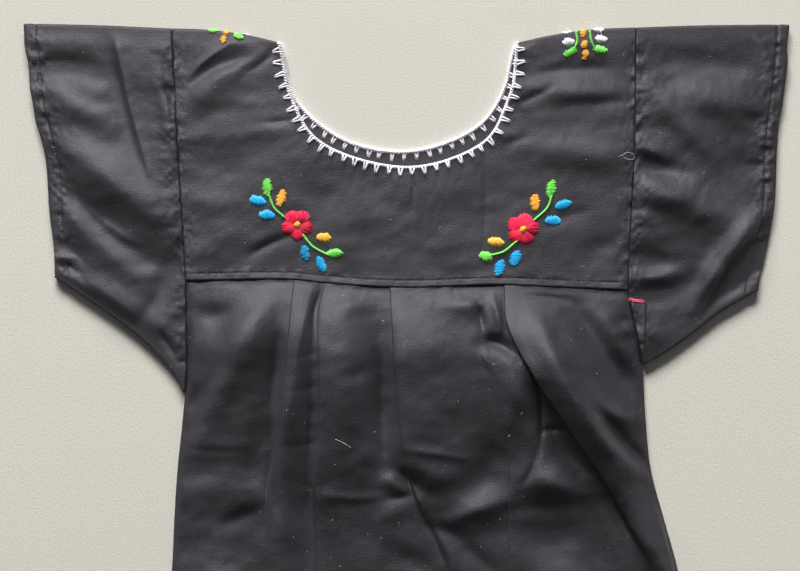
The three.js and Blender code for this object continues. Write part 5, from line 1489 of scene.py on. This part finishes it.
class DRESS_OT_sewing(bpy.types.Operator):
    """Machine stitches, the pink bar tack, loose threads under the neck and specks of lint"""

    bl_idname = "dress.sewing"
    bl_label = "Sewing"

    def execute(self, context):
        ready_yoke()
        rng = np.random.default_rng(SEWING_SEED)
        rows = self.band_stitches(rng) + self.cuff_stitches(rng)
        at = Shared.yoke_top.at
        loose = [resample(at(*np.array(points).T, LOOSE_LIFT), 0.8) for points in LOOSE_THREADS]
        for name, paths, radius, thread, slot, sides in (
            ("machine_stitches", rows, STITCH_RADIUS, "sewing", "black_cotton", 4),
            ("bar_tack", self.bar_tack(), TACK_RADIUS, "pink", "red_floss", 6),
            ("loose_threads", loose, LOOSE_RADIUS, "sewing", "black_cotton", 5),
        ):
            declare_thread(thread_piece(name, paths, radius, thread, sides))
        declare_thread(thread_piece("lint", self.lint(rng), LINT_RADIUS, "lint", 4))
        return {"FINISHED"}

    def stitch(self, ends, level):
        """One stitch between two plan points, bowed up from the cloth's face."""
        t = np.linspace(0, 1, 5)
        plan = ends[0] + (ends[1] - ends[0]) * t[:, None]
        bow = 0.2 * np.sin(np.pi * t) - STITCH_SINK
        return np.column_stack([plan, level(plan[:, 0], plan[:, 1]) + CLOTH / 2 + bow])

    def band_stitches(self, rng):
        """The row along the yoke's turned edge."""
        count = int(YOKE_EDGE.length[-1] * MM / settings().sewing_pitch)
        made = []
        for n in range(count):
            ends = YOKE_EDGE.at_length((n + np.array(STITCH_ENDS)) / count) + (0, BAND_STITCH)
            ends[:, 1] += rng.uniform(-0.1, 0.1)
            if np.all(np.abs(ends[:, 0] - BAND_MIDDLE_X) < BAND_HALF_LENGTH):
                made.append(self.stitch(ends, yoke_level))
        return made

    def cuff_stitches(self, rng):
        """The rows along both cuffs."""
        pitch = settings().sewing_pitch / MM
        made = []
        for side, sign in (("left", 1), ("right", -1)):
            cuff = CUFFS[side]
            low, high = cuff.points[-1, 1] + CUFF_ROW_LOW, cuff.points[0, 1] - CUFF_ROW_HIGH
            for y in np.arange(low, high, pitch):
                ys = np.array([y + STITCH_GAP, y + pitch - STITCH_GAP])
                ends = np.stack([cuff.x_at(ys) + sign * HEM_STITCH, ys], axis=-1)
                ends[:, 0] += rng.uniform(-0.1, 0.1)
                made.append(self.stitch(ends, lambda x, y: on_sleeve(side, x, y)))
        return made

    def bar_tack(self):
        """The threads of the pink bar tack, side by side."""
        t = np.linspace(0, 1, 8)[:, None]
        start, end = np.array(TACK_ENDS)
        made = []
        for beside in np.array(TACK_THREADS):
            plan = (start + beside) * (1 - t) + (end + beside) * t
            z = on_sleeve("right", plan[:, 0], plan[:, 1]) + CLOTH / 2 + TACK_LIFT
            made.append(np.column_stack([plan, z]))
        return made

    def lint(self, rng):
        """Specks of lint wherever they meet the dress, and the longer hairs."""
        made = []
        for _ in range(LINT_TRIES):
            x, y = (rng.uniform(*span) for span in LINT_AREA)
            spot = face_at(x, y)
            if spot is None:
                continue
            length, turn = rng.choice(LINT_LENGTHS, p=LINT_SHARES), rng.uniform(0, np.pi)
            t = np.linspace(-0.5, 0.5, 4)
            bend = rng.uniform(-0.3, 0.3) * length * (1 - (2 * t) ** 2)
            xs = x + length * (t * math.cos(turn) - bend * math.sin(turn))
            ys = y + length * (t * math.sin(turn) + bend * math.cos(turn))
            made.append(np.column_stack([xs, ys, np.full(4, spot + LINT_LIFT)]))
        for points in HAIRS:
            plan = PlanCurve(points).at_length(np.linspace(0, 1, 24))
            heights = [(face_at(x, y) or FOLD_LEVEL) + HAIR_LIFT for x, y in plan]
            made.append(np.column_stack([plan, heights]))
        return made


def on_sleeve(side, x, y):
    """The middle of a sleeve's upper layer at plan points."""
    x, y = np.asarray(x, float), np.asarray(y, float)
    cuff_x, arm_x = CUFFS[side].x_at(y), seam_x(side, y)
    across = np.clip((x - cuff_x) / (arm_x - cuff_x), 0, 1)
    top, bottom = TOP_FOLDS[side].y_at(x), UNDERARMS[side].y_at(x)
    down = np.clip((top - y) / (top - bottom), 0, 1)
    return sleeve_level(side, x, y, across, down)


WELL_ABOVE = 0.2  # metres, higher than any part of the dress


def face_at(x, y):
    """The height of whichever upper layer is visible at a plan point, or None off the dress."""
    drawn = bpy.context.evaluated_depsgraph_get()
    hit, where, *_ = bpy.context.scene.ray_cast(drawn, (x * MM, y * MM, WELL_ABOVE), (0, 0, -1))
    return where.z / MM if hit else None


class DRESS_OT_stage(bpy.types.Operator):
    """The pale surface, soft light and the camera straight above"""

    bl_idname = "dress.stage"
    bl_label = "Stage"

    def execute(self, context):
        light = context.scene.dress_light
        bpy.ops.object.select_all(action="DESELECT")
        bpy.ops.mesh.primitive_plane_add(size=FLOOR_SIZE, location=(0, 0, 0))
        floor = context.active_object
        floor.name = "table_top"
        floor.data.materials.append(material("surface"))
        lamps = {
            name: self.lamp(name, place, size, getattr(light, power), HEX[colour])
            for name, (place, size, power, colour) in LAMPS.items()
        }
        lamps["window"].visible_glossy = False  # so low, it would turn the cloth silver from in front
        lamps["ceiling"].visible_diffuse = False  # it gives the sheen alone, and the window the shadows
        world = bpy.data.worlds.new("room")
        context.scene.world = world
        world.use_nodes = True
        tree = world.node_tree
        room = tree.nodes["Background"]
        set_inputs(tree, room, {"Color": (*linear(HEX["room"]), 1), "Strength": light.room_strength})
        wall = add_node(tree, "Background", {"Color": (*linear(HEX["wall"]), 1), "Strength": WALL_STRENGTH})
        seen = add_node(tree, "LightPath").outputs["Is Camera Ray"]
        either = add_node(tree, "MixShader", links={0: seen, 1: room.outputs[0], 2: wall.outputs[0]})
        set_inputs(tree, tree.nodes["World Output"], links={"Surface": either.outputs[0]})
        context.scene.view_settings.view_transform = "Standard"
        self.camera(context)
        return {"FINISHED"}

    def lamp(self, name, place, size, power, colour):
        """A soft rectangular lamp that points at the dress."""
        data = bpy.data.lights.new(name, "AREA")
        data.shape = "RECTANGLE"
        data.size, data.size_y = size
        data.energy = power
        data.color = linear(colour)
        lamp = bpy.data.objects.new(name, data)
        lamp.location = place
        aim = Vector(LAMP_AIM) - Vector(place)
        lamp.rotation_euler = aim.to_track_quat("-Z", "Y").to_euler()
        bpy.context.scene.collection.objects.link(lamp)
        return lamp

    def camera(self, context):
        """The camera, straight above and turned neither way, with its view so wide on the cloth."""
        data = bpy.data.cameras.new("camera")
        data.sensor_width = SENSOR
        data.lens = SENSOR * (CAMERA_HEIGHT - LOW_LEVEL) / VIEW_WIDTH
        camera = bpy.data.objects.new("camera", data)
        camera.location = (CAMERA_CENTRE[0] * MM, CAMERA_CENTRE[1] * MM, CAMERA_HEIGHT * MM)
        context.scene.collection.objects.link(camera)
        context.scene.camera = camera


class DRESS_PT_panel(bpy.types.Panel):
    """Buttons for each piece of the dress"""

    bl_idname = "DRESS_PT_panel"
    bl_label = "Embroidered dress"
    bl_space_type = "VIEW_3D"
    bl_region_type = "UI"
    bl_category = "Dress"

    def draw(self, context):
        for piece in OPERATORS:
            self.layout.operator(piece.bl_idname)
        scene = context.scene
        for group in (scene.dress_sizes, scene.dress_colours, scene.dress_light):
            for name in group.__annotations__:
                self.layout.prop(group, name)


OPERATORS = (
    DRESS_OT_skirt_back,
    DRESS_OT_skirt_front,
    DRESS_OT_sleeves,
    DRESS_OT_yoke,
    DRESS_OT_neck_edging,
    DRESS_OT_embroidery,
    DRESS_OT_sewing,
    DRESS_OT_stage,
)
GROUPS = {"dress_sizes": DressSizes, "dress_colours": DressColours, "dress_light": DressLight}
CLASSES = (*GROUPS.values(), *OPERATORS, DRESS_PT_panel)


def register():
    for cls in CLASSES:
        bpy.utils.register_class(cls)
    for name, group in GROUPS.items():
        setattr(bpy.types.Scene, name, bpy.props.PointerProperty(type=group))


def unregister():
    for name in GROUPS:
        delattr(bpy.types.Scene, name)
    for cls in reversed(CLASSES):
        bpy.utils.unregister_class(cls)


def main():
    register()
    for piece in OPERATORS:
        group, name = piece.bl_idname.split(".")
        getattr(getattr(bpy.ops, group), name)()


if __name__ == "__main__":
    main()
